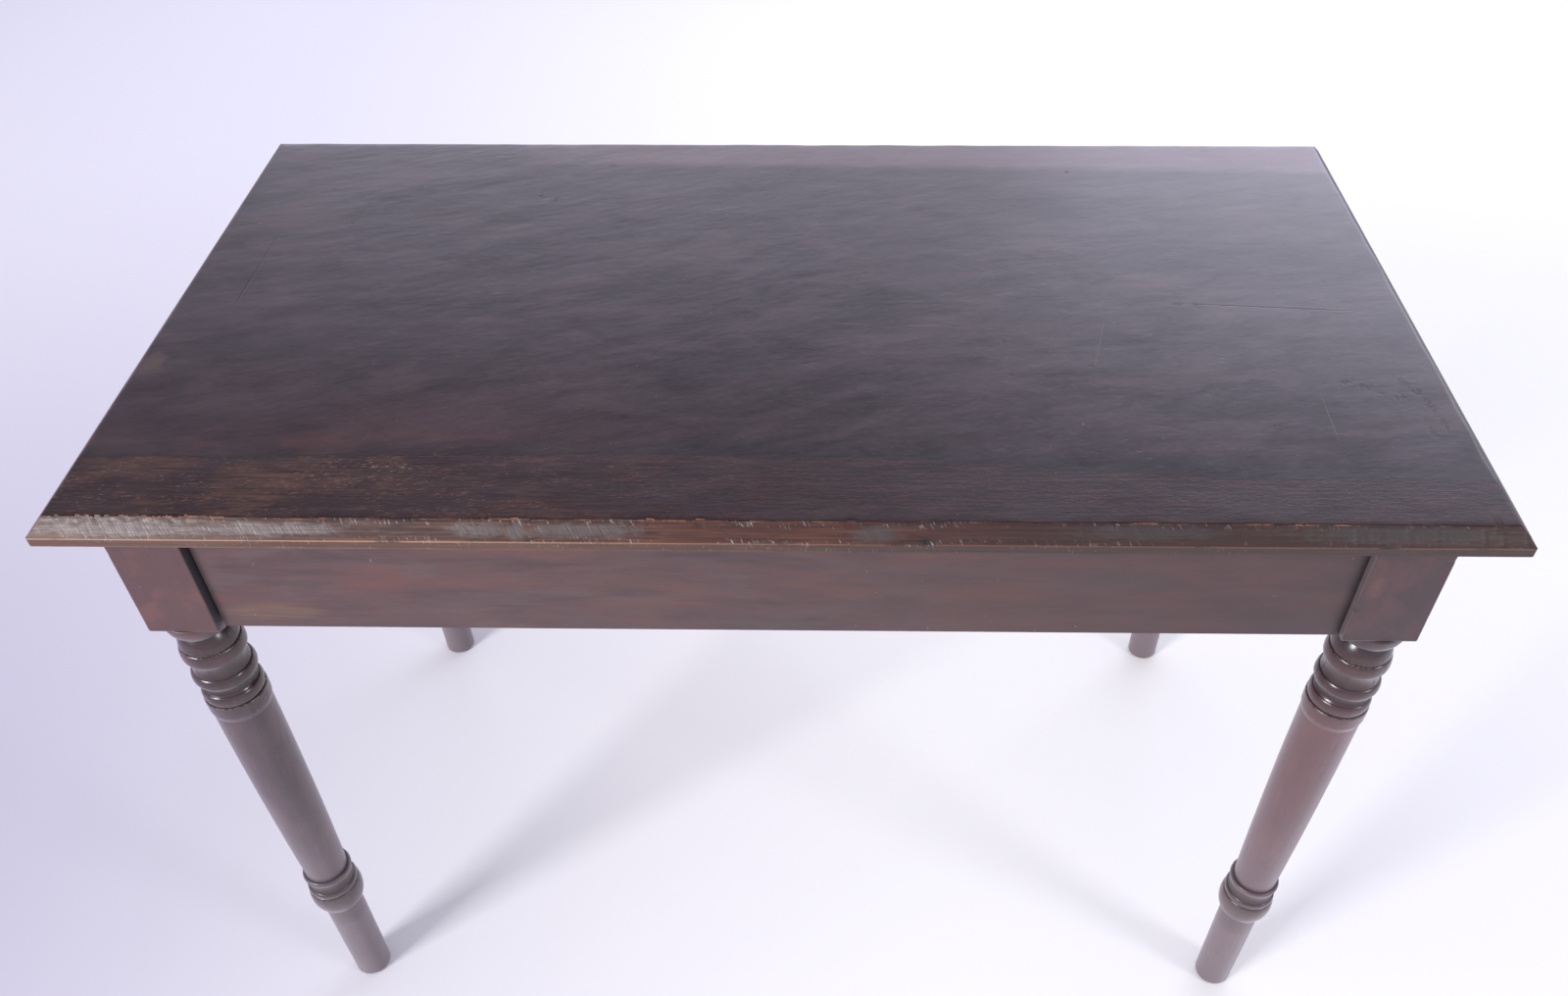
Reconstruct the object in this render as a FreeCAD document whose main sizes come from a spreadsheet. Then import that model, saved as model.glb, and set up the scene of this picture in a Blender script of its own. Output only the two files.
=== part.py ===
import FreeCAD, Part
import os
import Sketcher
from types import SimpleNamespace
from FreeCAD import Placement, Rotation, Vector

# Driving dimensions, in millimetres and degrees
DIMENSIONS = {
    # The table as a whole
    "table_height": 750,
    "glue_line": 0.1,
    # Top: three boards glued up, then bevelled all round over a square lip
    "top_length": 1192,
    "top_width": 650,
    "top_thickness": 20.4,
    "bevel_drop": 12.6,
    "bevel_run_long": 13.8,
    "bevel_run_end": 11.4,
    "corner_round": 3,
    "front_board_left_width": 94,
    "front_board_right_width": 69,
    "rear_board_left_width": 57,
    "rear_board_right_width": 75,
    "tongue_length": 8,
    "tongue_thickness": 6,
    "tongue_rise": 6.2,
    # Where the top oversails the frame
    "front_overhang": 1.5,
    "rear_overhang": 77,
    "end_overhang": 58.8,
    # Apron rails and their tenons
    "rail_depth": 102.6,
    "rail_thickness": 22,
    "rail_setback": 7.6,
    "tenon_length": 38,
    "tenon_thickness": 9,
    "tenon_height": 76,
    "tenon_rise": 10,
    # Square block at the head of each leg
    "block_side": 63.5,
    # Turned leg, upper group, from the block downwards
    "shoulder_height": 19,
    "shoulder_radius": 30.5,
    "shoulder_swell_radius": 28.2,
    "neck_height": 1.5,
    "neck_radius": 21.5,
    "upper_bead_height": 15,
    "upper_bead_swell_radius": 24.8,
    "upper_bead_low_radius": 26.4,
    "quirk_height": 2,
    "quirk_radius": 25.8,
    "lower_bead_height": 16.5,
    "lower_bead_radius": 28.8,
    "lower_bead_edge_radius": 26.2,
    "band_height": 15.5,
    "band_edge_radius": 25.2,
    "band_waist_radius": 24.9,
    "ring_height": 14,
    "ring_radius": 28.9,
    "ring_edge_radius": 26,
    "cove_height": 10.5,
    "cove_edge_radius": 24.8,
    "cove_radius": 23.4,
    "small_bead_height": 12.5,
    "small_bead_radius": 27.9,
    "small_bead_edge_radius": 25.6,
    "collar_step_height": 1,
    "collar_step_radius": 27.6,
    "collar_height": 14.5,
    "collar_radius": 28.5,
    "collar_slope_height": 6,
    # Turned leg, shaft
    "shaft_top_radius": 27.1,
    "shaft_middle_radius": 25.7,
    "shaft_low_radius": 22,
    # Turned leg, lower group, from the floor upwards
    "foot_low_radius": 19.6,
    "foot_round": 4,
    "foot_height": 150,
    "foot_top_radius": 20.6,
    "torus_height": 33,
    "torus_low_radius": 21.2,
    "torus_radius": 28.1,
    "torus_top_radius": 25.6,
    "low_bead_height": 8.5,
    "low_bead_edge_radius": 24.6,
    "low_bead_radius": 26.2,
    "low_cove_height": 14,
    "low_cove_edge_radius": 24,
    "low_cove_radius": 22.6,
    "disc_height": 7.3,
    "disc_edge_radius": 23.4,
    "disc_radius": 25.7,
    # Cross bearer under the middle of the top
    "bearer_width": 46,
    "bearer_depth": 26,
    "bearer_tenon_length": 10,
    "bearer_tenon_shoulder": 6,
    "bearer_tenon_depth": 16,
    # Rubbed glue blocks in the angle of rail and top
    "glue_block_length": 60,
    "glue_block_side": 28,
    "glue_block_land": 8,
    # Countersunk wood screws, and the gouged pockets that the slanting ones sit in
    "screw_length": 38,
    "screw_head_radius": 4.6,
    "screw_head_height": 3.6,
    "screw_rim_height": 0.6,
    "screw_shank_radius": 2.4,
    "screw_point_length": 6,
    "screw_point_radius": 0.4,
    "screw_slant": 15,
    "seat_inset": 9,
    "seat_drop": 24,
    "pocket_radius": 7,
    "pocket_length": 75,
}
# Places along a rail, from its middle, as shares of half its length
LONG_RAIL_SCREW_SHARES = (-0.75, -0.3, 0.3, 0.75)
END_RAIL_SCREW_SHARES = (-0.5, 0.5)
LONG_RAIL_GLUE_BLOCK_SHARES = {"left": -0.52, "right": 0.52}
END_RAIL_GLUE_BLOCK_SHARE = 0
BEARER_SCREW_SHARES = (-0.7, 0, 0.7)
# How far a quarter round stands in from its square corner at its middle, as a share of its radius
ROUND_SHARE = 0.2929

document = FreeCAD.newDocument("RefectoryTable")
sheet = document.addObject("Spreadsheet::Sheet", "Sizes")
for row, (alias, number) in enumerate(DIMENSIONS.items(), start=1):
    sheet.set(f"A{row}", alias)
    sheet.set(f"B{row}", str(number))
    sheet.setAlias(f"B{row}", alias)
document.recompute()


class Length:
    """A length with its formula on the sheet and its value."""

    def __init__(self, formula, value):
        self.formula = formula
        self.value = value

    def __add__(self, other):
        return Length(f"({self.formula} + {other.formula})", self.value + other.value)

    def __sub__(self, other):
        return Length(f"({self.formula} - {other.formula})", self.value - other.value)

    def __neg__(self):
        return Length(f"(0 - {self.formula})", -self.value)

    def __mul__(self, share):
        return Length(f"({self.formula} * {share})", self.value * share)

    def half(self):
        return Length(f"({self.formula} / 2)", self.value / 2)


size = SimpleNamespace(**{alias: Length(f"Sizes.{alias}", sheet.get(alias)) for alias in DIMENSIONS})
ZERO = Length("0", 0)

# Levels and faces that several pieces share
frame_top = size.table_height - size.top_thickness
block_bottom = frame_top - size.rail_depth
half_length = size.top_length.half()
half_width = size.top_width.half()
leg_x = half_length - size.end_overhang - size.block_side.half()
front_face = size.front_overhang - half_width
rear_face = half_width - size.rear_overhang
front_leg_y = front_face + size.block_side.half()
rear_leg_y = rear_face - size.block_side.half()
long_rail_half = leg_x - size.block_side.half()
end_rail_front = front_face + size.block_side
end_rail_length = rear_face - size.block_side - end_rail_front
end_rail_middle = end_rail_front + end_rail_length.half()
inset = size.rail_setback + size.rail_thickness
front_rail_inner = front_face + inset
rear_rail_inner = rear_face - inset
end_rail_inner = leg_x + size.block_side.half() - inset
tenon_setback = (size.rail_thickness - size.tenon_thickness).half()


def place(piece, x, y, z, turn=None):
    """Puts a piece at a point given by lengths, with a turn about its own origin."""
    if turn is not None:
        piece.Placement = Placement(Vector(), turn)
    piece.setExpression("Placement.Base.x", x.formula)
    piece.setExpression("Placement.Base.y", y.formula)
    piece.setExpression("Placement.Base.z", z.formula)
    return piece


def box(name, corner, sides):
    """A box from its low corner and its three sides."""
    piece = document.addObject("Part::Box", name)
    for side, length in zip(("Length", "Width", "Height"), sides):
        piece.setExpression(side, length.formula)
    return place(piece, *corner)


def joined(name, *pieces):
    """Several pieces made one solid."""
    piece = document.addObject("Part::MultiFuse", name)
    piece.Shapes = list(pieces)
    return piece


def grouped(name, pieces):
    """Several separate solids under one name."""
    piece = document.addObject("Part::Compound", name)
    piece.Links = list(pieces)
    return piece


def cut(name, base, tools):
    """A piece with several others taken out of it."""
    piece = document.addObject("Part::Cut", name)
    piece.Base = base
    piece.Tool = tools[0] if len(tools) == 1 else grouped(f"{name}_cutters", tools)
    return piece


def shared(name, first, second):
    """What two pieces have in common."""
    piece = document.addObject("Part::Common", name)
    piece.Base = first
    piece.Tool = second
    return piece


def fix_point(sketch, element, end, point):
    """Holds one end of a sketch element at a point given by lengths."""
    for kind, axis, length in (("DistanceX", -2, point[0]), ("DistanceY", -1, point[1])):
        if length is ZERO:
            sketch.addConstraint(Sketcher.Constraint("PointOnObject", element, end, axis))
        else:
            rule = sketch.addConstraint(Sketcher.Constraint(kind, -1, 1, element, end, length.value))
            sketch.setExpression(f"Constraints[{rule}]", length.formula)


def outline(body, name, role, start, steps):
    """A closed sketch on one of the body's own planes.

    Each step is an end point, after a point to curve through or None."""
    sketch = body.newObject("Sketcher::SketchObject", name)
    plane = next(item for item in body.Origin.OriginFeatures if item.Role == role)
    sketch.AttachmentSupport = (plane, "")
    sketch.MapMode = "FlatFace"
    tail = start
    ends = []
    for through, head in steps:
        low, high = Vector(tail[0].value, tail[1].value), Vector(head[0].value, head[1].value)
        if through is None:
            element = sketch.addGeometry(Part.LineSegment(low, high), False)
        else:
            swell = Vector(through[0].value, through[1].value)
            element = sketch.addGeometry(Part.Arc(low, swell, high), False)
        first, last = (1, 2) if sketch.getPoint(element, 1).isEqual(low, size.glue_line.value) else (2, 1)
        ends.append((element, first, last))
        fix_point(sketch, element, first, tail)
        if through is not None:
            marker = sketch.addGeometry(Part.Point(swell), True)
            fix_point(sketch, marker, 1, through)
            sketch.addConstraint(Sketcher.Constraint("PointOnObject", marker, 1, element))
        tail = head
    for (element, _, last), (following, first, _) in zip(ends, ends[1:] + ends[:1]):
        sketch.addConstraint(Sketcher.Constraint("Coincident", element, last, following, first))
    return sketch


def prism(name, role, start, steps, depth):
    """A straight-sided solid: an outline on one plane, padded to a depth."""
    body = document.addObject("PartDesign::Body", name)
    pad = body.newObject("PartDesign::Pad", f"{name}_pad")
    pad.Profile = outline(body, f"{name}_outline", role, start, steps)
    pad.setExpression("Length", depth.formula)
    return body


def straight(corners, start):
    """The steps of a polygon back to its start."""
    return [(None, corner) for corner in corners + [start]]


def turned(name, start, steps):
    """A solid turned about its own upright axis."""
    body = document.addObject("PartDesign::Body", name)
    sketch = outline(body, f"{name}_profile", "XZ_Plane", start, steps)
    turning = body.newObject("PartDesign::Revolution", f"{name}_turning")
    turning.Profile = sketch
    turning.ReferenceAxis = (sketch, ["V_Axis"])
    turning.Angle = 360
    return body


def named(piece, label):
    """Gives a finished piece the name of its file."""
    piece.Label = label
    pieces.append(piece)
    return piece


def leg_profile():
    """Half section of a leg from the floor to the underside of its block, as turned."""
    foot_bulge = size.foot_round * ROUND_SHARE
    foot_swell = (size.foot_low_radius - foot_bulge, foot_bulge)
    steps = [(None, (size.foot_low_radius - size.foot_round, ZERO)),
             (foot_swell, (size.foot_low_radius, size.foot_round)),
             (None, (size.foot_top_radius, size.foot_height))]
    level = size.foot_height
    lower_group = [
        ("torus_low_radius", "torus_radius", "torus_top_radius", "torus_height"),
        ("low_bead_edge_radius", "low_bead_radius", "low_bead_edge_radius", "low_bead_height"),
        ("low_cove_edge_radius", "low_cove_radius", "low_cove_edge_radius", "low_cove_height"),
        ("low_cove_edge_radius", "disc_radius", "disc_edge_radius", "disc_height"),
    ]
    upper_group = [
        ("shaft_top_radius", None, "collar_radius", "collar_slope_height"),
        ("collar_radius", None, "collar_radius", "collar_height"),
        ("collar_step_radius", None, "collar_step_radius", "collar_step_height"),
        ("small_bead_edge_radius", "small_bead_radius", "small_bead_edge_radius", "small_bead_height"),
        ("cove_edge_radius", "cove_radius", "cove_edge_radius", "cove_height"),
        ("ring_edge_radius", "ring_radius", "ring_edge_radius", "ring_height"),
        ("band_edge_radius", "band_waist_radius", "band_edge_radius", "band_height"),
        ("lower_bead_edge_radius", "lower_bead_radius", "lower_bead_edge_radius", "lower_bead_height"),
        ("quirk_radius", None, "quirk_radius", "quirk_height"),
        ("upper_bead_low_radius", "upper_bead_swell_radius", "neck_radius", "upper_bead_height"),
        ("neck_radius", None, "neck_radius", "neck_height"),
        ("neck_radius", "shoulder_swell_radius", "shoulder_radius", "shoulder_height"),
    ]
    collar_foot = block_bottom
    for _, _, _, height in upper_group:
        collar_foot = collar_foot - getattr(size, height)

    def add_group(group, level):
        """Adds each turned member in order, each with a plain step to its own first radius."""
        last = steps[-1][1][0]
        for low, swell, high, height in group:
            rise = getattr(size, height)
            if getattr(size, low) is not last:
                steps.append((None, (getattr(size, low), level)))
            through = None if swell is None else (getattr(size, swell), level + rise.half())
            level = level + rise
            last = getattr(size, high)
            steps.append((through, (last, level)))
        return level

    shaft_foot = add_group(lower_group, level)
    steps.append((None, (size.shaft_low_radius, shaft_foot)))
    shaft_middle = (shaft_foot + collar_foot).half()
    steps.append(((size.shaft_middle_radius, shaft_middle), (size.shaft_top_radius, collar_foot)))
    top = add_group(upper_group, collar_foot)
    steps.append((None, (ZERO, top)))
    steps.append((None, (ZERO, ZERO)))
    return (ZERO, ZERO), steps


def leg(label, x, y, mortises):
    """A leg in one piece of wood: turned shaft, square block, and a mortise for each rail that meets it."""
    body = turned(f"{label}_wood", *leg_profile())
    place(body, x, y, ZERO)
    block = box(f"{label}_block", (x - size.block_side.half(), y - size.block_side.half(), block_bottom),
                (size.block_side, size.block_side, size.rail_depth))
    return named(cut(f"{label}_mortised", joined(f"{label}_blank", body, block), mortises), label)


def rail(label, corner, sides, tenon_corner, tenon_sides, tools):
    """A rail with a tenon at each end, less the pockets, screws and bearer mortise cut in it."""
    board = box(f"{label}_board", corner, sides)
    tenons = box(f"{label}_tenons", tenon_corner, tenon_sides)
    return named(cut(f"{label}_cut", joined(f"{label}_blank", board, tenons), tools), label)


def wood_screw(name, x, y, z, turn):
    """A countersunk wood screw with its head's face at a point, pointing up along its own axis."""
    rim = size.screw_rim_height
    point = size.screw_length - size.screw_point_length
    steps = [(None, (size.screw_head_radius, ZERO)),
             (None, (size.screw_head_radius, rim)),
             (None, (size.screw_shank_radius, size.screw_head_height)),
             (None, (size.screw_shank_radius, point)),
             (None, (size.screw_point_radius, size.screw_length)),
             (None, (ZERO, size.screw_length)),
             (None, (ZERO, ZERO))]
    return place(turned(name, (ZERO, ZERO), steps), x, y, z, turn)


def pocket(name, x, y, z, turn):
    """The round gouge cut that runs from a slanting screw's head out of the rail's inner face."""
    gouge = document.addObject("Part::Cylinder", name)
    gouge.setExpression("Radius", size.pocket_radius.formula)
    gouge.setExpression("Height", size.pocket_length.formula)
    return place(gouge, x, y, z, turn)


def glue_block(label, x, y, turn):
    """A rubbed block with its two square faces against a rail and the top, and its free corner taken off."""
    side = size.glue_block_side
    land = size.glue_block_land
    start = (ZERO, ZERO)
    corners = [(land, ZERO), (side, side - land), (side, side), (ZERO, side)]
    block = prism(f"{label}_wood", "YZ_Plane", start, straight(corners, start), size.glue_block_length)
    return named(place(block, x, y, frame_top - side, turn), label)


pieces = []
slant = size.screw_slant.value
seat_level = frame_top - size.seat_drop
# The four sides of the apron: the axis that a screw leans about, its lean, and the turn of what faces inwards
FRONT = SimpleNamespace(name="front", axis=Vector(1, 0, 0), lean=slant, turn=Rotation(Vector(0, 0, 1), 0))
REAR = SimpleNamespace(name="rear", axis=Vector(1, 0, 0), lean=-slant, turn=Rotation(Vector(0, 0, 1), 180))
LEFT = SimpleNamespace(name="left", axis=Vector(0, 1, 0), lean=-slant, turn=Rotation(Vector(0, 0, 1), -90))
RIGHT = SimpleNamespace(name="right", axis=Vector(0, 1, 0), lean=slant, turn=Rotation(Vector(0, 0, 1), 90))

# Slanting screws and their pockets, four in each long rail and two in each end rail
front_seat_y = front_rail_inner - size.seat_inset
rear_seat_y = rear_rail_inner + size.seat_inset
end_seat_x = end_rail_inner + size.seat_inset
long_seats = [long_rail_half * share for share in LONG_RAIL_SCREW_SHARES]
end_seats = [end_rail_middle + end_rail_length.half() * share for share in END_RAIL_SCREW_SHARES]
seat_places = {
    "front": [(x, front_seat_y) for x in long_seats],
    "rear": [(x, rear_seat_y) for x in long_seats],
    "left": [(-end_seat_x, y) for y in end_seats],
    "right": [(end_seat_x, y) for y in end_seats],
}
slanting_screws = {}
pockets = {}
for rail_side in (FRONT, REAR, LEFT, RIGHT):
    up = Rotation(rail_side.axis, rail_side.lean)
    down = Rotation(rail_side.axis, rail_side.lean + 180)
    places = seat_places[rail_side.name]
    slanting_screws[rail_side.name] = [
        wood_screw(f"{rail_side.name}_screw_{index}", x, y, seat_level, up)
        for index, (x, y) in enumerate(places)
    ]
    pockets[rail_side.name] = [
        pocket(f"{rail_side.name}_pocket_{index}", x, y, seat_level, down)
        for index, (x, y) in enumerate(places)
    ]

# Cross bearer, stub-tenoned into the two long rails, and its upright screws
bearer_length = rear_rail_inner - front_rail_inner
bearer_middle = front_rail_inner + bearer_length.half()
bearer_level = frame_top - size.bearer_depth
upright = Rotation(Vector(0, 0, 1), 0)
bearer_seats = [bearer_middle + bearer_length.half() * share for share in BEARER_SCREW_SHARES]
bearer_screws = [
    wood_screw(f"bearer_screw_{index}", ZERO, y, bearer_level, upright)
    for index, y in enumerate(bearer_seats)
]
stub_half = size.bearer_width.half() - size.bearer_tenon_shoulder
stub_level = frame_top - size.bearer_tenon_shoulder - size.bearer_tenon_depth
bearer_board = box("bearer_board", (-size.bearer_width.half(), front_rail_inner, bearer_level),
                   (size.bearer_width, bearer_length, size.bearer_depth))
stub_start = front_rail_inner - size.bearer_tenon_length
stub_reach = bearer_length + size.bearer_tenon_length + size.bearer_tenon_length
bearer_stubs = box("bearer_stubs", (-stub_half, stub_start, stub_level),
                   (stub_half + stub_half, stub_reach, size.bearer_tenon_depth))
named(cut("bearer_bored", joined("bearer_blank", bearer_board, bearer_stubs), bearer_screws), "cross_bearer")


def mortise(name, corner, sides):
    """The room for a tenon: the tenon itself with a glue line all round."""
    line = size.glue_line
    low_corner = tuple(low - line for low in corner)
    return box(name, low_corner, tuple(side + line + line for side in sides))


stub_mortises = mortise("stub_mortises", (-stub_half, stub_start, stub_level),
                        (stub_half + stub_half, stub_reach, size.bearer_tenon_depth))

# Apron rails. The long rails run between the leg blocks along X, the end rails along Y
tenon_level = block_bottom + size.tenon_rise
long_reach = long_rail_half + size.tenon_length
end_reach = end_rail_length + size.tenon_length + size.tenon_length
end_tenon_start = end_rail_front - size.tenon_length
front_rail_outer = front_face + size.rail_setback
end_rail_outer = end_rail_inner + size.rail_thickness
long_sides = (long_rail_half + long_rail_half, size.rail_thickness, size.rail_depth)
end_sides = (size.rail_thickness, end_rail_length, size.rail_depth)
long_tenon_sides = (long_reach + long_reach, size.tenon_thickness, size.tenon_height)
end_tenon_sides = (size.tenon_thickness, end_reach, size.tenon_height)
rail("front_rail", (-long_rail_half, front_rail_outer, block_bottom), long_sides,
     (-long_reach, front_rail_outer + tenon_setback, tenon_level), long_tenon_sides,
     pockets["front"] + slanting_screws["front"] + [stub_mortises])
rail("rear_rail", (-long_rail_half, rear_rail_inner, block_bottom), long_sides,
     (-long_reach, rear_rail_inner + tenon_setback, tenon_level), long_tenon_sides,
     pockets["rear"] + slanting_screws["rear"] + [stub_mortises])
rail("left_rail", (-end_rail_outer, end_rail_front, block_bottom), end_sides,
     (-end_rail_outer + tenon_setback, end_tenon_start, tenon_level), end_tenon_sides,
     pockets["left"] + slanting_screws["left"])
rail("right_rail", (end_rail_inner, end_rail_front, block_bottom), end_sides,
     (end_rail_inner + tenon_setback, end_tenon_start, tenon_level), end_tenon_sides,
     pockets["right"] + slanting_screws["right"])

# Legs, each with one mortise for a long rail and one for an end rail
for depth_name, leg_y, long_tenon_y in (("front", front_leg_y, front_rail_outer + tenon_setback),
                                        ("rear", rear_leg_y, rear_rail_inner + tenon_setback)):
    for side_name, x, end_tenon_x in (("left", -leg_x, -end_rail_outer + tenon_setback),
                                      ("right", leg_x, end_rail_inner + tenon_setback)):
        name = f"leg_{depth_name}_{side_name}"
        long_tenon = (-long_reach, long_tenon_y, tenon_level)
        end_tenon = (end_tenon_x, end_tenon_start, tenon_level)
        leg(name, x, leg_y, [mortise(f"{name}_long_mortise", long_tenon, long_tenon_sides),
                             mortise(f"{name}_end_mortise", end_tenon, end_tenon_sides)])

# Rubbed glue blocks
half_block = size.glue_block_length.half()
for side_name, share in LONG_RAIL_GLUE_BLOCK_SHARES.items():
    block_x = long_rail_half * share
    glue_block(f"glue_block_front_{side_name}", block_x - half_block, front_rail_inner, FRONT.turn)
    glue_block(f"glue_block_rear_{side_name}", block_x + half_block, rear_rail_inner, REAR.turn)
end_block_middle = end_rail_middle + end_rail_length.half() * END_RAIL_GLUE_BLOCK_SHARE
glue_block("glue_block_left", -end_rail_inner, end_block_middle + half_block, LEFT.turn)
glue_block("glue_block_right", end_rail_inner, end_block_middle - half_block, RIGHT.turn)

# Top: one bevelled slab, parted along its two glue joints into three boards with tongues and grooves
lip_height = size.top_thickness - size.bevel_drop
lip = box("top_lip", (-half_length, -half_width, frame_top), (size.top_length, size.top_width, lip_height))
bevel = document.addObject("Part::Wedge", "top_bevel")
for edge, length in {"Xmin": ZERO, "Xmax": size.top_length, "Zmin": ZERO, "Zmax": size.top_width,
                     "X2min": size.bevel_run_end, "X2max": size.top_length - size.bevel_run_end,
                     "Z2min": size.bevel_run_long, "Z2max": size.top_width - size.bevel_run_long,
                     "Ymin": ZERO, "Ymax": size.bevel_drop}.items():
    bevel.setExpression(edge, length.formula)
place(bevel, -half_length, half_width, frame_top + lip_height, Rotation(Vector(1, 0, 0), 90))
corner_rise = size.corner_round * ROUND_SHARE
far_x = size.top_length - size.corner_round
far_y = size.top_width - size.corner_round
far_rise_x = size.top_length - corner_rise
far_rise_y = size.top_width - corner_rise
plan_start = (size.corner_round, ZERO)
plan_steps = [
    (None, (far_x, ZERO)),
    ((far_rise_x, corner_rise), (size.top_length, size.corner_round)),
    (None, (size.top_length, far_y)),
    ((far_rise_x, far_rise_y), (far_x, size.top_width)),
    (None, (size.corner_round, size.top_width)),
    ((corner_rise, far_rise_y), (ZERO, far_y)),
    (None, (ZERO, size.corner_round)),
    ((corner_rise, corner_rise), plan_start),
]
plan = prism("top_plan", "XY_Plane", plan_start, plan_steps, size.top_thickness)
place(plan, -half_length, -half_width, frame_top)
slab = shared("top_slab", joined("top_blank", lip, bevel), plan)


def board_prism(name, front, rear, level, depth):
    """A plank of the top in plan, between two joints measured from the top's front edge."""
    start = (ZERO, front[0])
    corners = [(size.top_length, front[1]), (size.top_length, rear[1]), (ZERO, rear[0])]
    plank = prism(name, "XY_Plane", start, straight(corners, start), depth)
    return place(plank, -half_length, -half_width, level)


def moved(joint, step):
    """A joint line moved rearwards by a step."""
    return (joint[0] + step, joint[1] + step)


front_edge = (ZERO, ZERO)
front_joint = (size.front_board_left_width, size.front_board_right_width)
rear_joint = (size.top_width - size.rear_board_left_width, size.top_width - size.rear_board_right_width)
rear_edge = (size.top_width, size.top_width)
tongue = size.tongue_length
groove = tongue + size.glue_line
tongue_level = frame_top + size.tongue_rise
groove_level = tongue_level - size.glue_line
groove_thickness = size.tongue_thickness + size.glue_line + size.glue_line
front_plank = board_prism("front_plank", front_edge, front_joint, frame_top, size.top_thickness)
centre_plank = board_prism("centre_plank", front_joint, rear_joint, frame_top, size.top_thickness)
rear_plank = board_prism("rear_plank", rear_joint, rear_edge, frame_top, size.top_thickness)
tongues = board_prism("tongues", moved(front_joint, -tongue), moved(rear_joint, tongue),
                      tongue_level, size.tongue_thickness)
grooves = board_prism("grooves", moved(front_joint, -groove), moved(rear_joint, groove),
                      groove_level, groove_thickness)
front_blank = shared("front_board_blank", slab, front_plank)
centre_blank = shared("centre_board_blank", slab, joined("centre_plan", centre_plank, tongues))
rear_blank = shared("rear_board_blank", slab, rear_plank)
centre_screws = slanting_screws["rear"] + slanting_screws["left"] + slanting_screws["right"] + bearer_screws
named(cut("front_board", front_blank, [grooves] + slanting_screws["front"]), "top_front_board")
named(cut("centre_board", centre_blank, centre_screws), "top_centre_board")
named(cut("rear_board", rear_blank, [grooves]), "top_rear_board")
named(grouped("slanting_screw_group", sum(slanting_screws.values(), [])), "pocket_screws")
named(grouped("bearer_screw_group", bearer_screws), "bearer_screws")

document.recompute()
for item in document.Objects:
    if {"Invalid", "Error"} & set(item.State):
        raise RuntimeError(f"{item.Name} failed: {item.State}")
for piece in pieces:
    if piece.Shape.isNull() or not piece.Shape.isValid():
        raise RuntimeError(f"{piece.Label} has no valid shape")
os.makedirs("parts", exist_ok=True)
for piece in pieces:
    piece.Shape.exportStep(f"parts/{piece.Label}.step")
    print(f"{piece.Label}: {len(piece.Shape.Solids)} solids, {piece.Shape.Volume:.0f} cubic mm")
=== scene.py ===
import math

import bpy
from mathutils import Matrix, Vector, noise


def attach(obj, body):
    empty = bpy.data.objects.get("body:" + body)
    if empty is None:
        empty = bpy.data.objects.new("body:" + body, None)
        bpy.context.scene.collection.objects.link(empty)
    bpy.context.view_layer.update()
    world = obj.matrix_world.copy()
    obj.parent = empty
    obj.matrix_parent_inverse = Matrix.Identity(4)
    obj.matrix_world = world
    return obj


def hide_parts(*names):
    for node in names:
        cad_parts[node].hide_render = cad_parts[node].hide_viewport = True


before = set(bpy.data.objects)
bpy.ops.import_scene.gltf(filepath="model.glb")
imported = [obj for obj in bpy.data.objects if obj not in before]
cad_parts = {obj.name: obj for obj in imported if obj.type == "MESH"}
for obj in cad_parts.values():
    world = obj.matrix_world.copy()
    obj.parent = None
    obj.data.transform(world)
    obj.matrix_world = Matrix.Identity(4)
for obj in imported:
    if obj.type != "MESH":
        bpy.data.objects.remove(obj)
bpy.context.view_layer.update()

scene = bpy.context.scene


# Sizes of the table in metres

TOP_LENGTH = 1.192
TOP_WIDTH = 0.650
HALF_LENGTH = TOP_LENGTH / 2
HALF_WIDTH = TOP_WIDTH / 2
TOP_LEVEL = 0.750
TOP_UNDER = 0.7296
TOP_CORNER = 0.003
BEVEL_DROP = 0.0126
BEVEL_FOOT = TOP_LEVEL - BEVEL_DROP
BEVEL_RUN_LONG = 0.0138
BEVEL_RUN_END = 0.0114
# The y of the front bevel's middle
BEVEL_MIDDLE = -0.3185
# How far below the top the bevel's own wood begins, how far back the front's wear reaches, and what is left
BEVEL_STARTS = 0.0007
WORN_FRONT = 0.019
LEAST_THICKNESS = 0.004
# Lines along the top, by their y at the left end and at the right end
FRONT_EDGE = (-HALF_WIDTH, -HALF_WIDTH)
FRONT_JOINT = (-0.231, -0.256)
REAR_JOINT = (0.268, 0.250)
REAR_EDGE = (HALF_WIDTH, HALF_WIDTH)
# The square heads of the front legs: level of the foot, y of the faces, and the rounding of the edges
HEAD_FOOT = 0.62705
HEAD_FRONT = -0.3235
HEAD_REAR = -0.2600
HEAD_ARRIS = 0.0012
CORNER_RADIUS = 0.0016
CORNER_MARGIN = 0.004
CORNER_POINTS = 7

# Steps of the meshes, and the strips along the edges of the top that have fine ones
AROUND_LEG = 96
HEAD_ROWS = 30
FINE_COLUMN = 0.0012
FRONT_COLUMN = 0.0013
CENTRE_COLUMN = 0.008
REAR_COLUMN = 0.004
FINE_ROW = 0.0009
COARSE_ROW = 0.006
END_STRIP = 0.0165
BEVEL_STRIP = 0.0175

# Depth of the wear in metres; on a leg, dents in millimetres and unevenness as a share of the radius
FLAKE_DEPTH = 0.0013
SLOPE_FLAKE_DEPTH = 0.0005
CHIP_DEPTH = 0.0016
CHATTER_DEPTH = 0.00032
UNEVEN_DEPTH = 0.0003
WAVE_DEPTH = 0.00022
PIT_DEPTH = 0.00008
CORNER_WEAR = 0.0011
DENT_DEPTH = 0.7
OUT_OF_ROUND = 0.006


# Single marks on the top: x, y, half length, half width, turn

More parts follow.
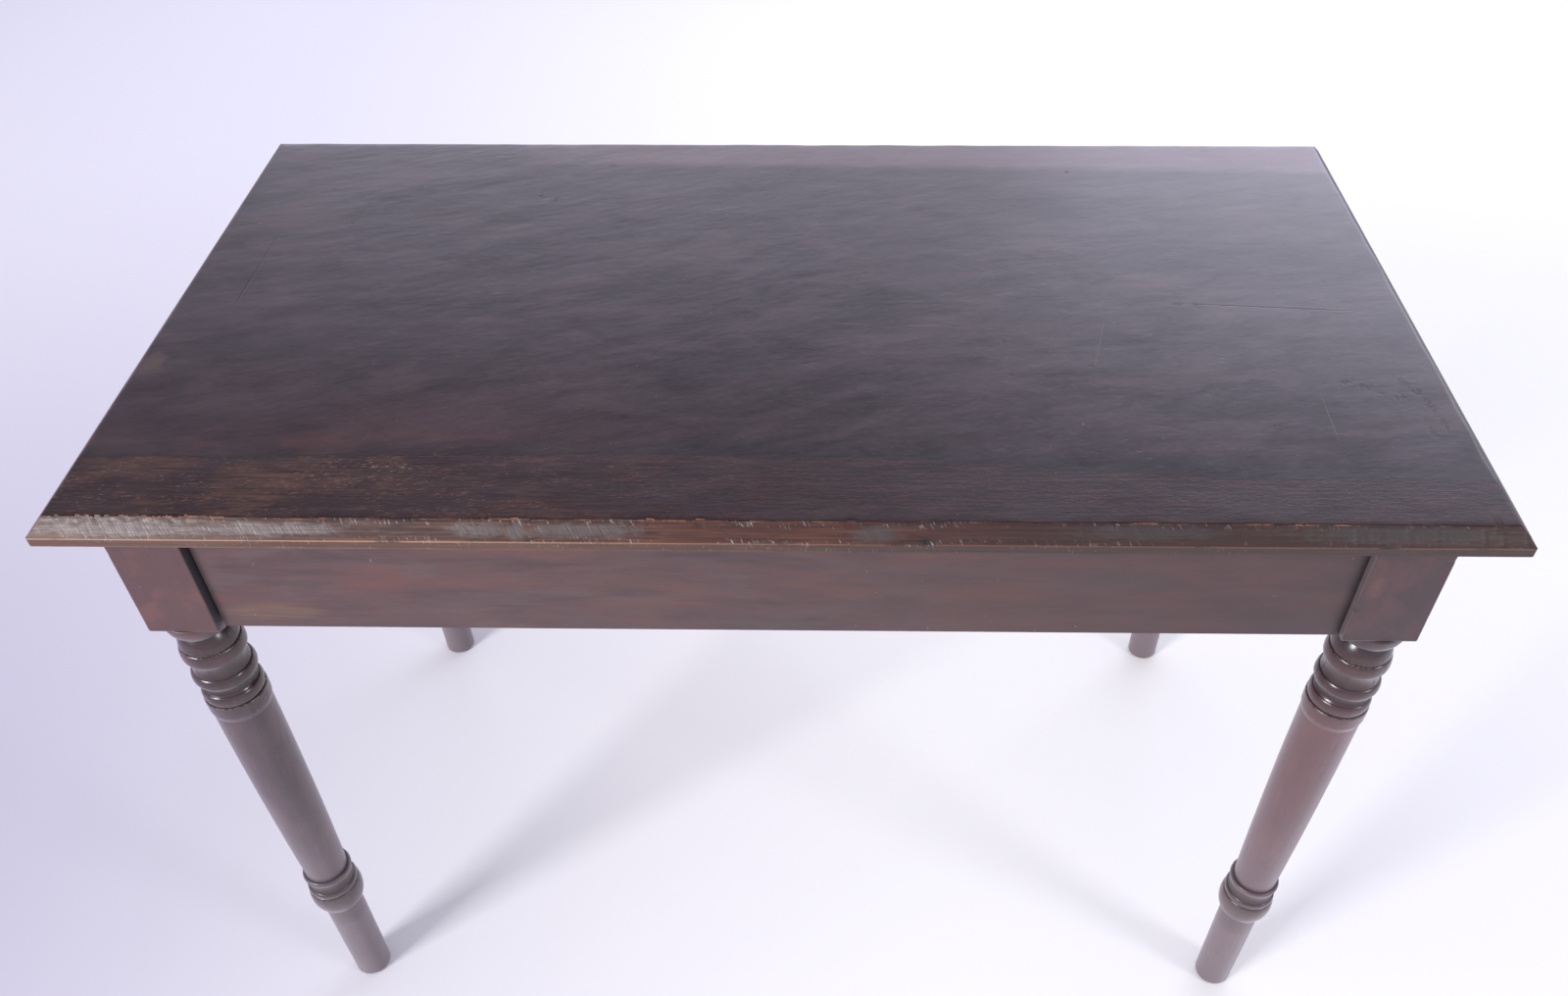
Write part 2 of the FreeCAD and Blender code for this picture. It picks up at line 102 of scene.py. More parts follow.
PITS = [
    (0.497, -0.128, 0.007, 0.005, 0.4), (0.512, -0.133, 0.006, 0.004, 0.2),
    (0.548, -0.128, 0.006, 0.008, 0.3), (0.556, -0.141, 0.005, 0.006, 0.1),
    (0.540, -0.150, 0.006, 0.005, 0.6), (0.561, -0.160, 0.005, 0.009, 0.2),
    (0.566, -0.186, 0.004, 0.008, 0.1), (0.552, -0.197, 0.004, 0.007, 0.2),
    (0.525, -0.143, 0.004, 0.003, 0.0), (0.022, -0.085, 0.006, 0.005, 0.3),
    (0.019, -0.103, 0.007, 0.003, 0.1), (0.095, -0.104, 0.005, 0.004, 0.7),
    (0.201, -0.068, 0.003, 0.003, 0.0), (0.203, -0.119, 0.003, 0.003, 0.0),
    (0.236, -0.155, 0.003, 0.003, 0.0), (0.275, -0.131, 0.003, 0.003, 0.0),
    (0.421, -0.190, 0.005, 0.004, 0.4), (0.327, -0.189, 0.004, 0.003, 0.2),
    (0.266, -0.225, 0.004, 0.003, 0.3), (0.190, -0.222, 0.004, 0.003, 0.2),
    (0.276, -0.105, 0.004, 0.003, 0.5), (0.372, -0.006, 0.006, 0.004, 0.1),
    (0.390, -0.008, 0.005, 0.003, 0.2), (-0.457, 0.138, 0.006, 0.003, 0.6),
    (-0.268, 0.193, 0.004, 0.005, 0.2), (-0.250, 0.186, 0.005, 0.004, 0.5),
    (-0.200, 0.260, 0.004, 0.003, 0.1), (0.075, 0.045, 0.003, 0.003, 0.0),
    (0.300, 0.250, 0.004, 0.003, 0.4),
]
# A pit's ragged rim lies within this many of its half sizes, and within this distance of its middle
PIT_SPREAD = 1.5
PIT_REACH = 0.020
SCRATCHES = [
    (0.118, -0.004, 0.014, 0.0010, 0.05), (0.125, -0.044, 0.030, 0.0011, 0.06),
    (0.060, -0.041, 0.022, 0.0008, -0.05), (0.289, -0.070, 0.055, 0.0007, 1.31),
    (0.470, -0.180, 0.045, 0.0006, 1.55), (-0.278, 0.007, 0.012, 0.0011, 0.1),
]
CRACKS = [(0.462, -0.011, 0.098, 0.0011, -0.07), (-0.527, 0.044, 0.095, 0.0014, 1.555)]
TAN_PLACES = [(-0.345, -0.254, 0.060, 0.018, 0.1), (-0.130, -0.251, 0.022, 0.017, 0.3),
              (-0.470, -0.270, 0.050, 0.020, 0.0)]
# The rear edge of the worn front zone and the front edge of the pale rear strip: x, y
FIGURE_LINE = [(-0.6, -0.236), (-0.44, -0.2355), (-0.345, -0.232), (-0.219, -0.2298), (-0.08, -0.2286),
               (0.063, -0.232), (0.157, -0.2375), (0.251, -0.2458), (0.345, -0.252), (0.5, -0.2546),
               (0.6, -0.256)]
REAR_LINE = [(-0.6, 0.268), (0.0, 0.262), (0.6, 0.250)]
# The point about which the figure of the top curves
FIGURE_CENTRE = (-0.6, 0.85)
# Skins of polish left on the front bevel: x, level, half length, half height
SKINS = [
    (-0.525, 0.7445, 0.095, 0.0075), (-0.405, 0.7440, 0.085, 0.0046), (-0.236, 0.7440, 0.032, 0.0052),
    (-0.205, 0.7440, 0.0110, 0.0074), (-0.150, 0.7442, 0.062, 0.0052), (0.078, 0.7426, 0.025, 0.0058),
    (0.290, 0.7450, 0.075, 0.0050), (0.490, 0.7450, 0.110, 0.0060),
]
# How strongly the grey skins show a painted silver sheen along the table, strongest at the left: x, share
SKIN_SHEEN = [(-0.6, 1.0), (-0.38, 0.85), (-0.2, 0.52), (0.0, 0.36), (0.12, 0.20), (0.6, 0.14)]
# How clean a turned leg is rubbed at each level, dark in its hollows and quirks with dirt and with painted
# shade
CLEAN_AND_LIT_LOW = [
    (0.12, 1.0), (0.150, 0.75), (0.165, 1.0), (0.180, 0.9), (0.1832, 0.35), (0.187, 1.0), (0.1916, 0.4),
    (0.1985, 0.6), (0.2050, 0.4), (0.209, 1.0), (0.2132, 0.4), (0.220, 0.95), (0.30, 1.0),
]
CLEAN_AND_LIT_HIGH = [
    (0.48, 1.0), (0.510, 0.95), (0.5185, 0.9), (0.5202, 0.25), (0.526, 1.0), (0.531, 0.75), (0.538, 0.42),
    (0.5435, 0.5), (0.549, 1.0), (0.556, 0.7), (0.560, 0.62), (0.566, 0.85), (0.572, 0.5), (0.580, 1.0),
    (0.588, 0.65), (0.5905, 0.2), (0.595, 0.75), (0.601, 0.6), (0.6075, 0.18), (0.616, 0.3), (0.627, 0.4),
]
# Levels of the sharp edges on the turning that are rubbed bare
BARE_EDGES = (0.5052, 0.5192, 0.5912, 0.5890)


# The turned leg in millimetres, from the floor up

# Beads and hollows: lower and upper level, radius at its foot, at its swell and at its head, the swell's
# place as a share of the height, and the form: 0.5 a half round, 1 a shallow curve
LOW_MEMBERS = [
    (150.0, 183.0, 21.2, 28.1, 25.2, 0.62, 0.62), (183.0, 191.5, 24.6, 26.3, 24.4, 0.45, 0.6),
    (191.5, 205.5, 24.2, 22.4, 23.8, 0.5, 1.0), (205.5, 212.8, 23.8, 25.7, 22.8, 0.5, 0.45),
]
HIGH_MEMBERS = [
    (520.0, 532.8, 26.2, 27.9, 25.2, 0.38, 0.6), (532.8, 543.4, 25.2, 23.3, 25.6, 0.5, 1.0),
    (543.4, 557.5, 25.6, 28.9, 25.8, 0.40, 0.6), (557.5, 573.0, 25.8, 24.5, 26.0, 0.5, 1.0),
    (573.0, 589.5, 26.0, 28.8, 26.4, 0.40, 0.6),
]
MEMBER_STEPS = 14
# Bowed faces: lower and upper level, radius at the foot, in the middle and at the head, steps
FOOT = (4.0, 150.0, (19.5, 20.05, 20.6), 24)
SHAFT = (212.8, 499.0, (22.0, 25.7, 27.1), 40)
NECK = (591.5, 606.5, (26.4, 25.0, 21.5), 10)
# Short faces: radius, level
FOOT_ROUND = [(15.6, 0.0), (17.6, 0.5), (18.9, 1.8), (19.5, 4.0)]
COLLAR = [[(27.1, 499.0), (28.4, 504.6)], [(28.4, 504.6), (28.6, 511.0), (28.5, 518.4)],
          [(28.5, 518.4), (27.8, 519.8)]]
QUIRK = [(26.0, 589.5), (25.7, 590.4), (25.9, 591.4)]
FILLET = [(21.5, 606.5), (21.4, 608.0)]
# The hollow shoulder below the head: its radius and level at the foot, its reach and its rise, steps
SHOULDER_FOOT = (21.4, 608.0)
SHOULDER_REACH = 9.1
SHOULDER_RISE = 19.4
SHOULDER_STEPS = 10
# The level at which a leaning leg has the place given for its head
LEAN_LEVEL = 600


# Node trees

class Tree:
    """A material's node tree, with one short call for each kind of node."""

    def __init__(self, name):
        self.material = bpy.data.materials.new(name)
        self.material.use_nodes = True
        self.tree = self.material.node_tree
        self.tree.nodes.clear()
        self.out = self.tree.nodes.new("ShaderNodeOutputMaterial")
        self.place = self.add("ShaderNodeTexCoord").outputs["Object"]
        split = self.add("ShaderNodeSeparateXYZ", Vector=self.place)
        self.x, self.y, self.z = split.outputs

    def put(self, socket, value):
        """Link a socket to another one, or set it to a number, a vector or a colour."""
        if isinstance(value, bpy.types.NodeSocket):
            self.tree.links.new(value, socket)
        elif hasattr(value, "__len__") and len(socket.default_value) == 4:
            socket.default_value = (*value, 1)
        else:
            socket.default_value = value

    def add(self, kind, settings=(), **inputs):
        node = self.tree.nodes.new(kind)
        for key, value in dict(settings).items():
            setattr(node, key, value)
        for key, value in inputs.items():
            self.put(node.inputs[key], value)
        return node

    def math(self, operation, first, second):
        node = self.add("ShaderNodeMath", {"operation": operation})
        self.put(node.inputs[0], first)
        self.put(node.inputs[1], second)
        return node.outputs[0]

    def chain(self, operation, values):
        """One operation over several values, from the first to the last."""
        total = values[0]
        for value in values[1:]:
            total = self.math(operation, total, value)
        return total

    def plus(self, *values):
        return self.chain("ADD", values)

    def times(self, *values):
        return self.chain("MULTIPLY", values)

    def most(self, values):
        return self.chain("MAXIMUM", values)

    def minus(self, first, second):
        return self.math("SUBTRACT", first, second)

    def swing(self, value, middle, reach):
        """A value moved up and down by a noise around its middle."""
        return self.plus(middle, self.times(self.minus(value, 0.5), reach))

    def smooth(self, value, low, high, to_low=0.0, to_high=1.0):
        node = self.add("ShaderNodeMapRange", {"interpolation_type": "SMOOTHSTEP"})
        for key, item in zip(("Value", "From Min", "From Max", "To Min", "To Max"),
                             (value, low, high, to_low, to_high)):
            self.put(node.inputs[key], item)
        return node.outputs[0]

    def band(self, value, start, full, fade, end):
        """1 from full to fade, falling to 0 at the start and at the end."""
        return self.times(self.smooth(value, start, full), self.smooth(value, end, fade))

    def mix(self, share, first, second):
        node = self.add("ShaderNodeMix", {"data_type": "RGBA"})
        self.put(node.inputs[0], share)
        self.put(node.inputs[6], first)
        self.put(node.inputs[7], second)
        return node.outputs[2]

    def over(self, under, colour, *shares):
        """A colour laid over another, as strong as the product of its shares."""
        return self.mix(self.times(*shares), under, colour)

    def cells(self, size, turn=0.0, shift=(0, 0, 0)):
        """Coordinates that count cells of this size, in metres, turned about the vertical."""
        node = self.add("ShaderNodeMapping", {"vector_type": "TEXTURE"}, Vector=self.place, Scale=size,
                        Location=shift, Rotation=(0, 0, turn))
        return node.outputs[0]

    def noise_at(self, place, detail, rough, twist):
        node = self.add("ShaderNodeTexNoise", Vector=place, Scale=1.0, Detail=detail, Roughness=rough,
                        Distortion=twist)
        return node.outputs["Fac"]

    def noise(self, size, detail=3.0, rough=0.55, twist=0.0, turn=0.0, shift=(0, 0, 0)):
        """Noise with cells of this size."""
        return self.noise_at(self.cells(size, turn, shift), detail, rough, twist)

    def mark(self, place, size, turn=0.0, ragged=None):
        """1 in the middle of a lens-shaped mark, falling to 0 at its edge."""
        far = self.add("ShaderNodeVectorMath", {"operation": "LENGTH"})
        self.put(far.inputs[0], self.cells(size, turn, place))
        distance = far.outputs["Value"]
        if ragged is not None:
            distance = self.plus(distance, ragged)
        return self.smooth(distance, 1.0, 0.35)

    def top_marks(self, rows):
        """The strongest of several marks on the top."""
        return self.most([self.mark((x, y, TOP_LEVEL), (long, wide, 1.0), turn)
                          for x, y, long, wide, turn in rows])

    def ramp(self, value, stops):
        node = self.add("ShaderNodeValToRGB", Fac=value)
        while len(node.color_ramp.elements) < len(stops):
            node.color_ramp.elements.new(0.5)
        for element, (where, colour) in zip(node.color_ramp.elements, stops):
            element.position = where
            element.color = (*colour, 1)
        return node.outputs[0]

    def curve(self, value, points):
        """A value read off a smooth line through points."""
        node = self.add("ShaderNodeFloatCurve")
        line = node.mapping.curves[0]
        low, high = points[0][0], points[-1][0]
        floor_value = min(point[1] for point in points) - 0.001
        height = max(point[1] for point in points) + 0.001 - floor_value
        places = [((at - low) / (high - low), (level - floor_value) / height) for at, level in points]
        while len(line.points) < len(places):
            line.points.new(0.5, 0.5)
        for point, where in zip(line.points, places):
            point.location = where
        node.mapping.update()
        share = self.add("ShaderNodeMapRange", Value=value)
        share.inputs["From Min"].default_value = low
        share.inputs["From Max"].default_value = high
        self.put(node.inputs["Value"], share.outputs[0])
        return self.plus(self.times(node.outputs[0], height), floor_value)

    def bump(self, height, strength, distance, normal=None):
        node = self.add("ShaderNodeBump", Height=height, Strength=strength, Distance=distance)
        if normal is not None:
            self.put(node.inputs["Normal"], normal)
        return node.outputs[0]

    def finish(self, colour, rough, normal, **constants):
        shader = self.add("ShaderNodeBsdfPrincipled")
        self.put(shader.inputs["Base Color"], colour)
        self.put(shader.inputs["Roughness"], rough)
        self.put(shader.inputs["Normal"], normal)
        for key, value in constants.items():
            self.put(shader.inputs[key.replace("_", " ")], value)
        self.tree.links.new(shader.outputs[0], self.out.inputs["Surface"])
        return self.material


def top_material():
    """Old polish on figured mahogany: near black with a grey bloom, browner where the front is worn."""
    t = Tree("old_polished_mahogany")
    # Front zone, where the polish is worn thin; its edge follows the figure of the wood
    line = t.curve(t.x, FIGURE_LINE)
    wander = t.noise((0.03, 0.02, 1), 4.0)
    edge = t.minus(t.swing(wander, line, 0.010), t.y)
    front = t.smooth(edge, -0.003, 0.004)
    # A painted shadow line along the rear side of the worn front zone's edge
    painted_shadow_line = t.band(edge, -0.026, -0.002, 0.0, 0.006)
    rear_line = t.curve(t.x, REAR_LINE)
    rear = t.smooth(t.minus(t.y, t.swing(wander, rear_line, 0.006)), -0.009, 0.009)
    rear = t.times(rear, t.smooth(t.x, -0.42, -0.08))
    left = t.smooth(t.x, 0.02, -0.38)
    # Figure: long streaks that curve up to the right, as arcs about a point off the rear left corner
    far = t.add("ShaderNodeVectorMath", {"operation": "DISTANCE"})
    t.put(far.inputs[0], t.place)
    t.put(far.inputs[1], (*FIGURE_CENTRE, TOP_LEVEL))
    bearing = t.math("ARCTAN2", t.minus(t.y, FIGURE_CENTRE[1]), t.minus(t.x, FIGURE_CENTRE[0]))
    arcs = t.add("ShaderNodeCombineXYZ", X=t.math("DIVIDE", far.outputs["Value"], 0.036),
                 Y=t.math("DIVIDE", bearing, 0.20)).outputs[0]
    level_streaks = t.noise((0.20, 0.026, 1), 4.0, 0.55, twist=0.6, turn=0.06)
    straight = t.smooth(t.x, -0.05, 0.30)
    streaks = t.swing(t.noise_at(arcs, 4.0, 0.52, 0.7), 0.5, t.minus(1.0, straight))
    streaks = t.plus(streaks, t.swing(level_streaks, 0.0, straight))
    pores = t.noise((0.0075, 0.0026, 1), 3.0, 0.62, turn=0.06)
    blotch = t.noise((0.075, 0.034, 1), 5.0, 0.62, twist=0.6, turn=0.10, shift=(0.1, 0.4, 0))
    clouds = t.noise((0.22, 0.16, 1), 4.0, 0.6)
    figure = t.plus(t.times(streaks, 0.4), t.times(blotch, 0.4))
    figure = t.plus(figure, t.times(pores, 0.2))
    body = t.ramp(figure, [(0.38, (0.0110, 0.0042, 0.0076)), (0.5, (0.0190, 0.0074, 0.0118)),
                           (0.62, (0.0330, 0.0122, 0.0152))])
    warm = t.times(t.smooth(edge, -0.17, -0.005), t.smooth(t.x, 0.25, -0.5), t.smooth(clouds, 0.3, 0.75))
    body = t.over(body, (0.052, 0.0140, 0.0145), warm, 0.85)
    # Worn front: fine straight grain, pale flecks in patches, browner towards the left
    grain = t.noise((0.048, 0.0026, 1), 5.0, 0.70, twist=0.15)
    flecks = t.noise((0.0060, 0.0016, 1), 3.0, 0.62, turn=0.10)
    mottles = t.noise((0.034, 0.013, 1), 4.0, 0.65)
    patches = t.noise((0.085, 0.045, 1), 4.0, 0.62, shift=(0.31, 0.0, 0))
    worn = t.ramp(grain, [(0.34, (0.0120, 0.0048, 0.0060)), (0.5, (0.0230, 0.0086, 0.0092)),
                          (0.66, (0.0420, 0.0165, 0.0150))])
    worn = t.over(worn, (0.0420, 0.0125, 0.0120), t.smooth(mottles, 0.48, 0.68), 0.55)
    brown = t.times(t.smooth(patches, 0.44, 0.64), left, t.smooth(grain, 0.30, 0.66))
    worn = t.over(worn, (0.090, 0.040, 0.024), brown, 0.75)
    tan = t.top_marks(TAN_PLACES)
    thin = t.plus(t.times(tan, 0.5), t.plus(t.times(left, 0.30), 0.10))
    pale = t.times(t.smooth(flecks, 0.52, 0.68), t.smooth(mottles, 0.40, 0.62), thin)
    worn = t.over(worn, (0.215, 0.145, 0.105), pale)
    colour = t.over(body, worn, front)
    glow = t.times(t.band(edge, -0.040, -0.004, -0.004, 0.001), left, t.smooth(patches, 0.40, 0.60))
    colour = t.over(colour, (0.125, 0.046, 0.028), glow, mottles, 0.8)
    # Painted shadow along the edge of the worn front zone
    colour = t.over(colour, (0.0060, 0.0030, 0.0046), painted_shadow_line, 0.62)
    # The pale rear strip: a paler board, its colour raised further as a painted sheen
    colour = t.over(colour, t.mix(streaks, (0.088, 0.058, 0.067), (0.140, 0.098, 0.108)), rear, 0.85)
    colour = t.over(colour, (0.145, 0.086, 0.074), rear, t.smooth(mottles, 0.52, 0.66), 0.45)
    # Single marks: pits and blisters, scratches, cracks, a chipped place at the left end, specks of dust
    ragged = t.swing(t.noise((0.006, 0.006, 1)), 0.0, 1.1)
    pits = t.add("ShaderNodeAttribute", {"attribute_name": "pits"}).outputs["Fac"]
    cuts = t.top_marks(SCRATCHES)
    splits = t.top_marks(CRACKS)
    chip = t.mark((-0.573, -0.106, TOP_LEVEL), (0.016, 0.020, 1.0), ragged=ragged)
    specks = t.smooth(t.noise((0.005, 0.005, 1), 2.0, 0.5), 0.755, 0.80)
    colour = t.over(colour, (0.022, 0.0095, 0.0090), pits, 0.30)
    dashes = t.smooth(t.noise((0.0085, 0.0026, 1), 3.0, 0.6, turn=0.1), 0.64, 0.74)
    dashes = t.times(dashes, t.smooth(clouds, 0.42, 0.62))
    colour = t.over(colour, (0.008, 0.0045, 0.0050), dashes, 0.5)
    colour = t.over(colour, (0.004, 0.003, 0.003), splits, 0.9)
    colour = t.over(colour, (0.20, 0.18, 0.18), cuts, 0.13)
    colour = t.over(colour, (0.115, 0.075, 0.062), chip, mottles, 0.9)
    colour = t.over(colour, (0.24, 0.20, 0.19), specks, 0.35)
    rough = t.swing(clouds, 0.345, 0.12)
    rough = t.plus(rough, t.swing(streaks, 0.0, 0.08))
    rough = t.plus(rough, t.swing(blotch, 0.0, 0.14))
    rough = t.plus(rough, t.swing(pores, 0.0, 0.12))
    rough = t.plus(rough, t.times(front, 0.08))
    rough = t.plus(rough, t.times(t.most([pits, chip]), 0.15))
    lumps = t.noise((0.10, 0.035, 1), turn=0.3)
    hollow = t.plus(t.times(splits, -1.0), t.times(dashes, -0.35), t.times(cuts, 0.2))
    calm = t.smooth(t.x, 0.45, -0.05, 0.55, 1.0)
    normal = t.bump(t.times(lumps, calm), 0.20, 0.0030)
    normal = t.bump(t.times(t.plus(streaks, blotch), calm), 0.12, 0.0016, normal)
    normal = t.bump(pores, 0.12, 0.0004, normal)
    normal = t.bump(t.times(t.minus(t.plus(grain, flecks), 1.0), front), 0.35, 0.0005, normal)
    normal = t.bump(hollow, 0.35, 0.0008, normal)
    gloss = t.minus(t.smooth(t.y, 0.02, -0.24, 0.50, 0.40), t.times(front, 0.09))
    gloss = t.plus(gloss, t.times(t.smooth(t.x, -0.10, 0.30), t.smooth(t.y, 0.16, 0.0), 0.045))
    gloss = t.minus(gloss, t.times(left, t.smooth(t.y, 0.06, -0.16), 0.065))
    gloss = t.times(gloss, t.swing(streaks, 1.0, 0.45), t.swing(blotch, 1.0, 0.9), t.swing(pores, 1.0, 0.35))
    return t.finish(colour, rough, normal, IOR=1.5, Specular_IOR_Level=gloss)


def edge_material():
    """The bevel and lip: rubbed bare along its edges, with skins of old polish left between."""
    t = Tree("worn_mahogany_edge")
    low, high = BEVEL_FOOT, TOP_LEVEL
    grain = t.noise((0.09, 0.0022, 0.0022), 4.0, 0.65, twist=0.3)
    coarse = t.noise((0.05, 0.006, 0.006), 3.0, 0.6)
    base = t.ramp(grain, [(0.32, (0.028, 0.0125, 0.0095)), (0.49, (0.066, 0.029, 0.0205)),
                          (0.66, (0.140, 0.064, 0.041))])
    red = t.band(t.x, -0.22, -0.06, 0.14, 0.30)
    red_wood = t.mix(t.smooth(grain, 0.33, 0.67), (0.044, 0.0140, 0.0090), (0.100, 0.034, 0.0200))
    base = t.over(base, red_wood, red, 0.80)
    stains = t.smooth(t.noise((0.030, 0.0045, 0.0045), 4.0, 0.65, shift=(0.7, 0.0, 0.0)), 0.52, 0.66)
    base = t.over(base, (0.016, 0.0080, 0.0072), stains, 0.6)
    threads = t.smooth(t.noise((0.070, 0.0011, 0.0011), 3.0, 0.6, shift=(0.2, 0.1, 0.0)), 0.58, 0.68)
    base = t.over(base, (0.200, 0.076, 0.036), threads, 0.42)
    shade = t.times(t.smooth(t.z, high - 0.0045, high - 0.0008), t.smooth(coarse, 0.44, 0.58))
    base = t.over(base, (0.014, 0.0068, 0.0062), shade, 0.65)
    dull = t.smooth(t.x, 0.02, 0.22)
    base = t.over(base, t.mix(grain, (0.016, 0.0080, 0.0072), (0.046, 0.0215, 0.0170)), dull, 0.78)
    faded = t.smooth(t.x, -0.38, -0.50)
    base = t.over(base, t.mix(grain, (0.115, 0.074, 0.060), (0.215, 0.152, 0.130)), faded, 0.5)
    # Skins of polish, grey, with a painted silver sheen for the light from the left, strongest at the left
    # end
    ragged = t.swing(t.noise((0.012, 0.004, 0.004), 4.0, 0.65), 0.0, 1.5)
    skins = t.most([t.mark((x, BEVEL_MIDDLE, level), (long, 1.0, tall), ragged=ragged)
                    for x, level, long, tall in SKINS])
    scuffs = t.noise((0.0014, 0.016, 1.0), 3.0, 0.62, turn=0.7)
    painted_sheen_share = t.times(t.curve(t.x, SKIN_SHEEN), t.swing(scuffs, 0.8, 1.5))
    grey_skin_and_sheen = t.mix(painted_sheen_share, (0.030, 0.024, 0.022), (0.222, 0.180, 0.172))
    colour = t.over(base, grey_skin_and_sheen, skins, 0.85)
    patchy = t.times(t.smooth(coarse, 0.54, 0.68), t.smooth(t.x, 0.2, -0.1), 0.55)
    colour = t.over(colour, (0.130, 0.100, 0.090), patchy)
    # Bare orange wood along the arris and the lower edge, broken here and there
    gap = t.noise((0.045, 0.3, 0.3), 3.0, 0.6)
    bits = t.noise((0.010, 0.3, 0.3), 3.0, 0.65)
    arris = t.times(t.smooth(t.z, high - 0.0013, high - 0.0006), t.smooth(gap, 0.46, 0.56),
                    t.smooth(bits, 0.36, 0.54))
    nicks = t.noise((0.0016, 0.0090, 0.0060), 3.0, 0.6, turn=0.6)
    rims = t.plus(t.smooth(t.z, high - 0.0050, high - 0.0015), t.smooth(t.z, low + 0.0042, low + 0.0010))
    strokes = t.times(t.smooth(nicks, 0.57, 0.66), rims, t.smooth(coarse, 0.44, 0.56),
                      t.smooth(t.x, 0.50, 0.0, 0.25, 1.0))
    colour = t.over(colour, (0.380, 0.330, 0.310), strokes, 0.65)
    bare = t.mix(t.smooth(t.x, -0.35, 0.15), (0.46, 0.250, 0.150), (0.170, 0.072, 0.042))
    foot = t.times(t.band(t.z, low - 0.0005, low - 0.0001, low + 0.0002, low + 0.0007),
                   t.smooth(gap, 0.30, 0.46))
    colour = t.over(colour, (0.33, 0.145, 0.066), arris, 0.7)
    colour = t.over(colour, bare, foot, 0.8)
    knot = t.mark((0.117, -0.3215, 0.7392), (0.0075, 0.02, 0.0026), ragged=ragged)
    colour = t.over(colour, (0.010, 0.006, 0.006), knot, 0.95)
    # The square lip below the bevel
    lip = t.smooth(t.z, low - 0.0002, low - 0.0009)
    lip_left = t.mix(grain, (0.070, 0.0350, 0.0255), (0.140, 0.0760, 0.0540))
    lip_right = t.mix(grain, (0.026, 0.0165, 0.0160), (0.058, 0.0350, 0.0310))
    colour = t.over(colour, t.mix(t.smooth(t.x, -0.25, 0.20), lip_left, lip_right), lip, 0.75)
    sill = t.times(t.smooth(t.z, TOP_UNDER + 0.0013, TOP_UNDER + 0.0007), t.smooth(gap, 0.36, 0.50))
    colour = t.over(colour, bare, sill, 0.18)
    rough = t.plus(t.swing(coarse, 0.47, 0.16), t.times(skins, -0.10))
    normal = t.bump(grain, 0.30, 0.0007)
    normal = t.bump(t.times(scuffs, skins), 0.45, 0.0008, normal)
    normal = t.bump(strokes, 0.4, 0.0005, normal)
    return t.finish(colour, rough, normal, IOR=1.5)


def apron_material():
    """Reddish mahogany rails, the grain along them, clouded grey and red, with an ochre place at the left."""
    t = Tree("apron_mahogany")
    grain = t.noise((0.16, 0.16, 0.0080), 5.0, 0.66, twist=0.5)
    fine = t.noise((0.06, 0.06, 0.0016), 3.0, 0.6)
    clouds = t.noise((0.115, 0.115, 0.024), 5.0, 0.64, twist=0.45)
    veil = t.noise((0.085, 0.085, 0.026), 5.0, 0.62, twist=0.4, shift=(0.4, 0.2, 0.1))
    wood = t.plus(t.times(grain, 0.22), t.times(clouds, 0.62), t.times(fine, 0.16))
    colour = t.ramp(wood, [(0.36, (0.056, 0.0350, 0.0380)), (0.5, (0.092, 0.0500, 0.0500)),
                           (0.64, (0.134, 0.0560, 0.0470))])
    colour = t.over(colour, (0.100, 0.0760, 0.0780), t.smooth(veil, 0.46, 0.66), 0.45)
    haze = t.times(t.smooth(t.z, 0.668, 0.630), t.smooth(grain, 0.35, 0.65))
    colour = t.over(colour, (0.078, 0.0620, 0.0690), haze, 0.40)
    ochre = t.mark((-0.428, -0.3159, 0.645), (0.052, 0.05, 0.016), ragged=t.swing(clouds, 0.0, 1.4))
    colour = t.over(colour, (0.170, 0.0980, 0.0560), ochre, t.smooth(grain, 0.30, 0.60), 0.7)
    shade = t.smooth(t.x, -0.30, 0.50)
    colour = t.over(colour, t.mix(clouds, (0.022, 0.0130, 0.0165), (0.048, 0.0240, 0.0270)), shade, 0.64)
    # Painted shade on the rail in the corner beside the right head
    corner = t.times(t.smooth(t.x, 0.4640, 0.4725), t.smooth(t.y, -0.2, -0.25))
    colour = t.over(colour, (0.008, 0.0050, 0.0055), corner, t.swing(fine, 0.75, 0.5))
    specks = t.smooth(t.noise((0.0065, 0.0065, 0.0065), 2.0, 0.5), 0.760, 0.80)
    colour = t.over(colour, (0.27, 0.22, 0.21), specks, 0.55)
    rough = t.plus(t.swing(grain, 0.42, 0.16), t.times(specks, 0.2))
    normal = t.bump(grain, 0.10, 0.0012)
    normal = t.bump(fine, 0.14, 0.0004, normal)
    normal = t.bump(specks, 0.4, 0.0006, normal)
    return t.finish(colour, rough, normal, IOR=1.5)


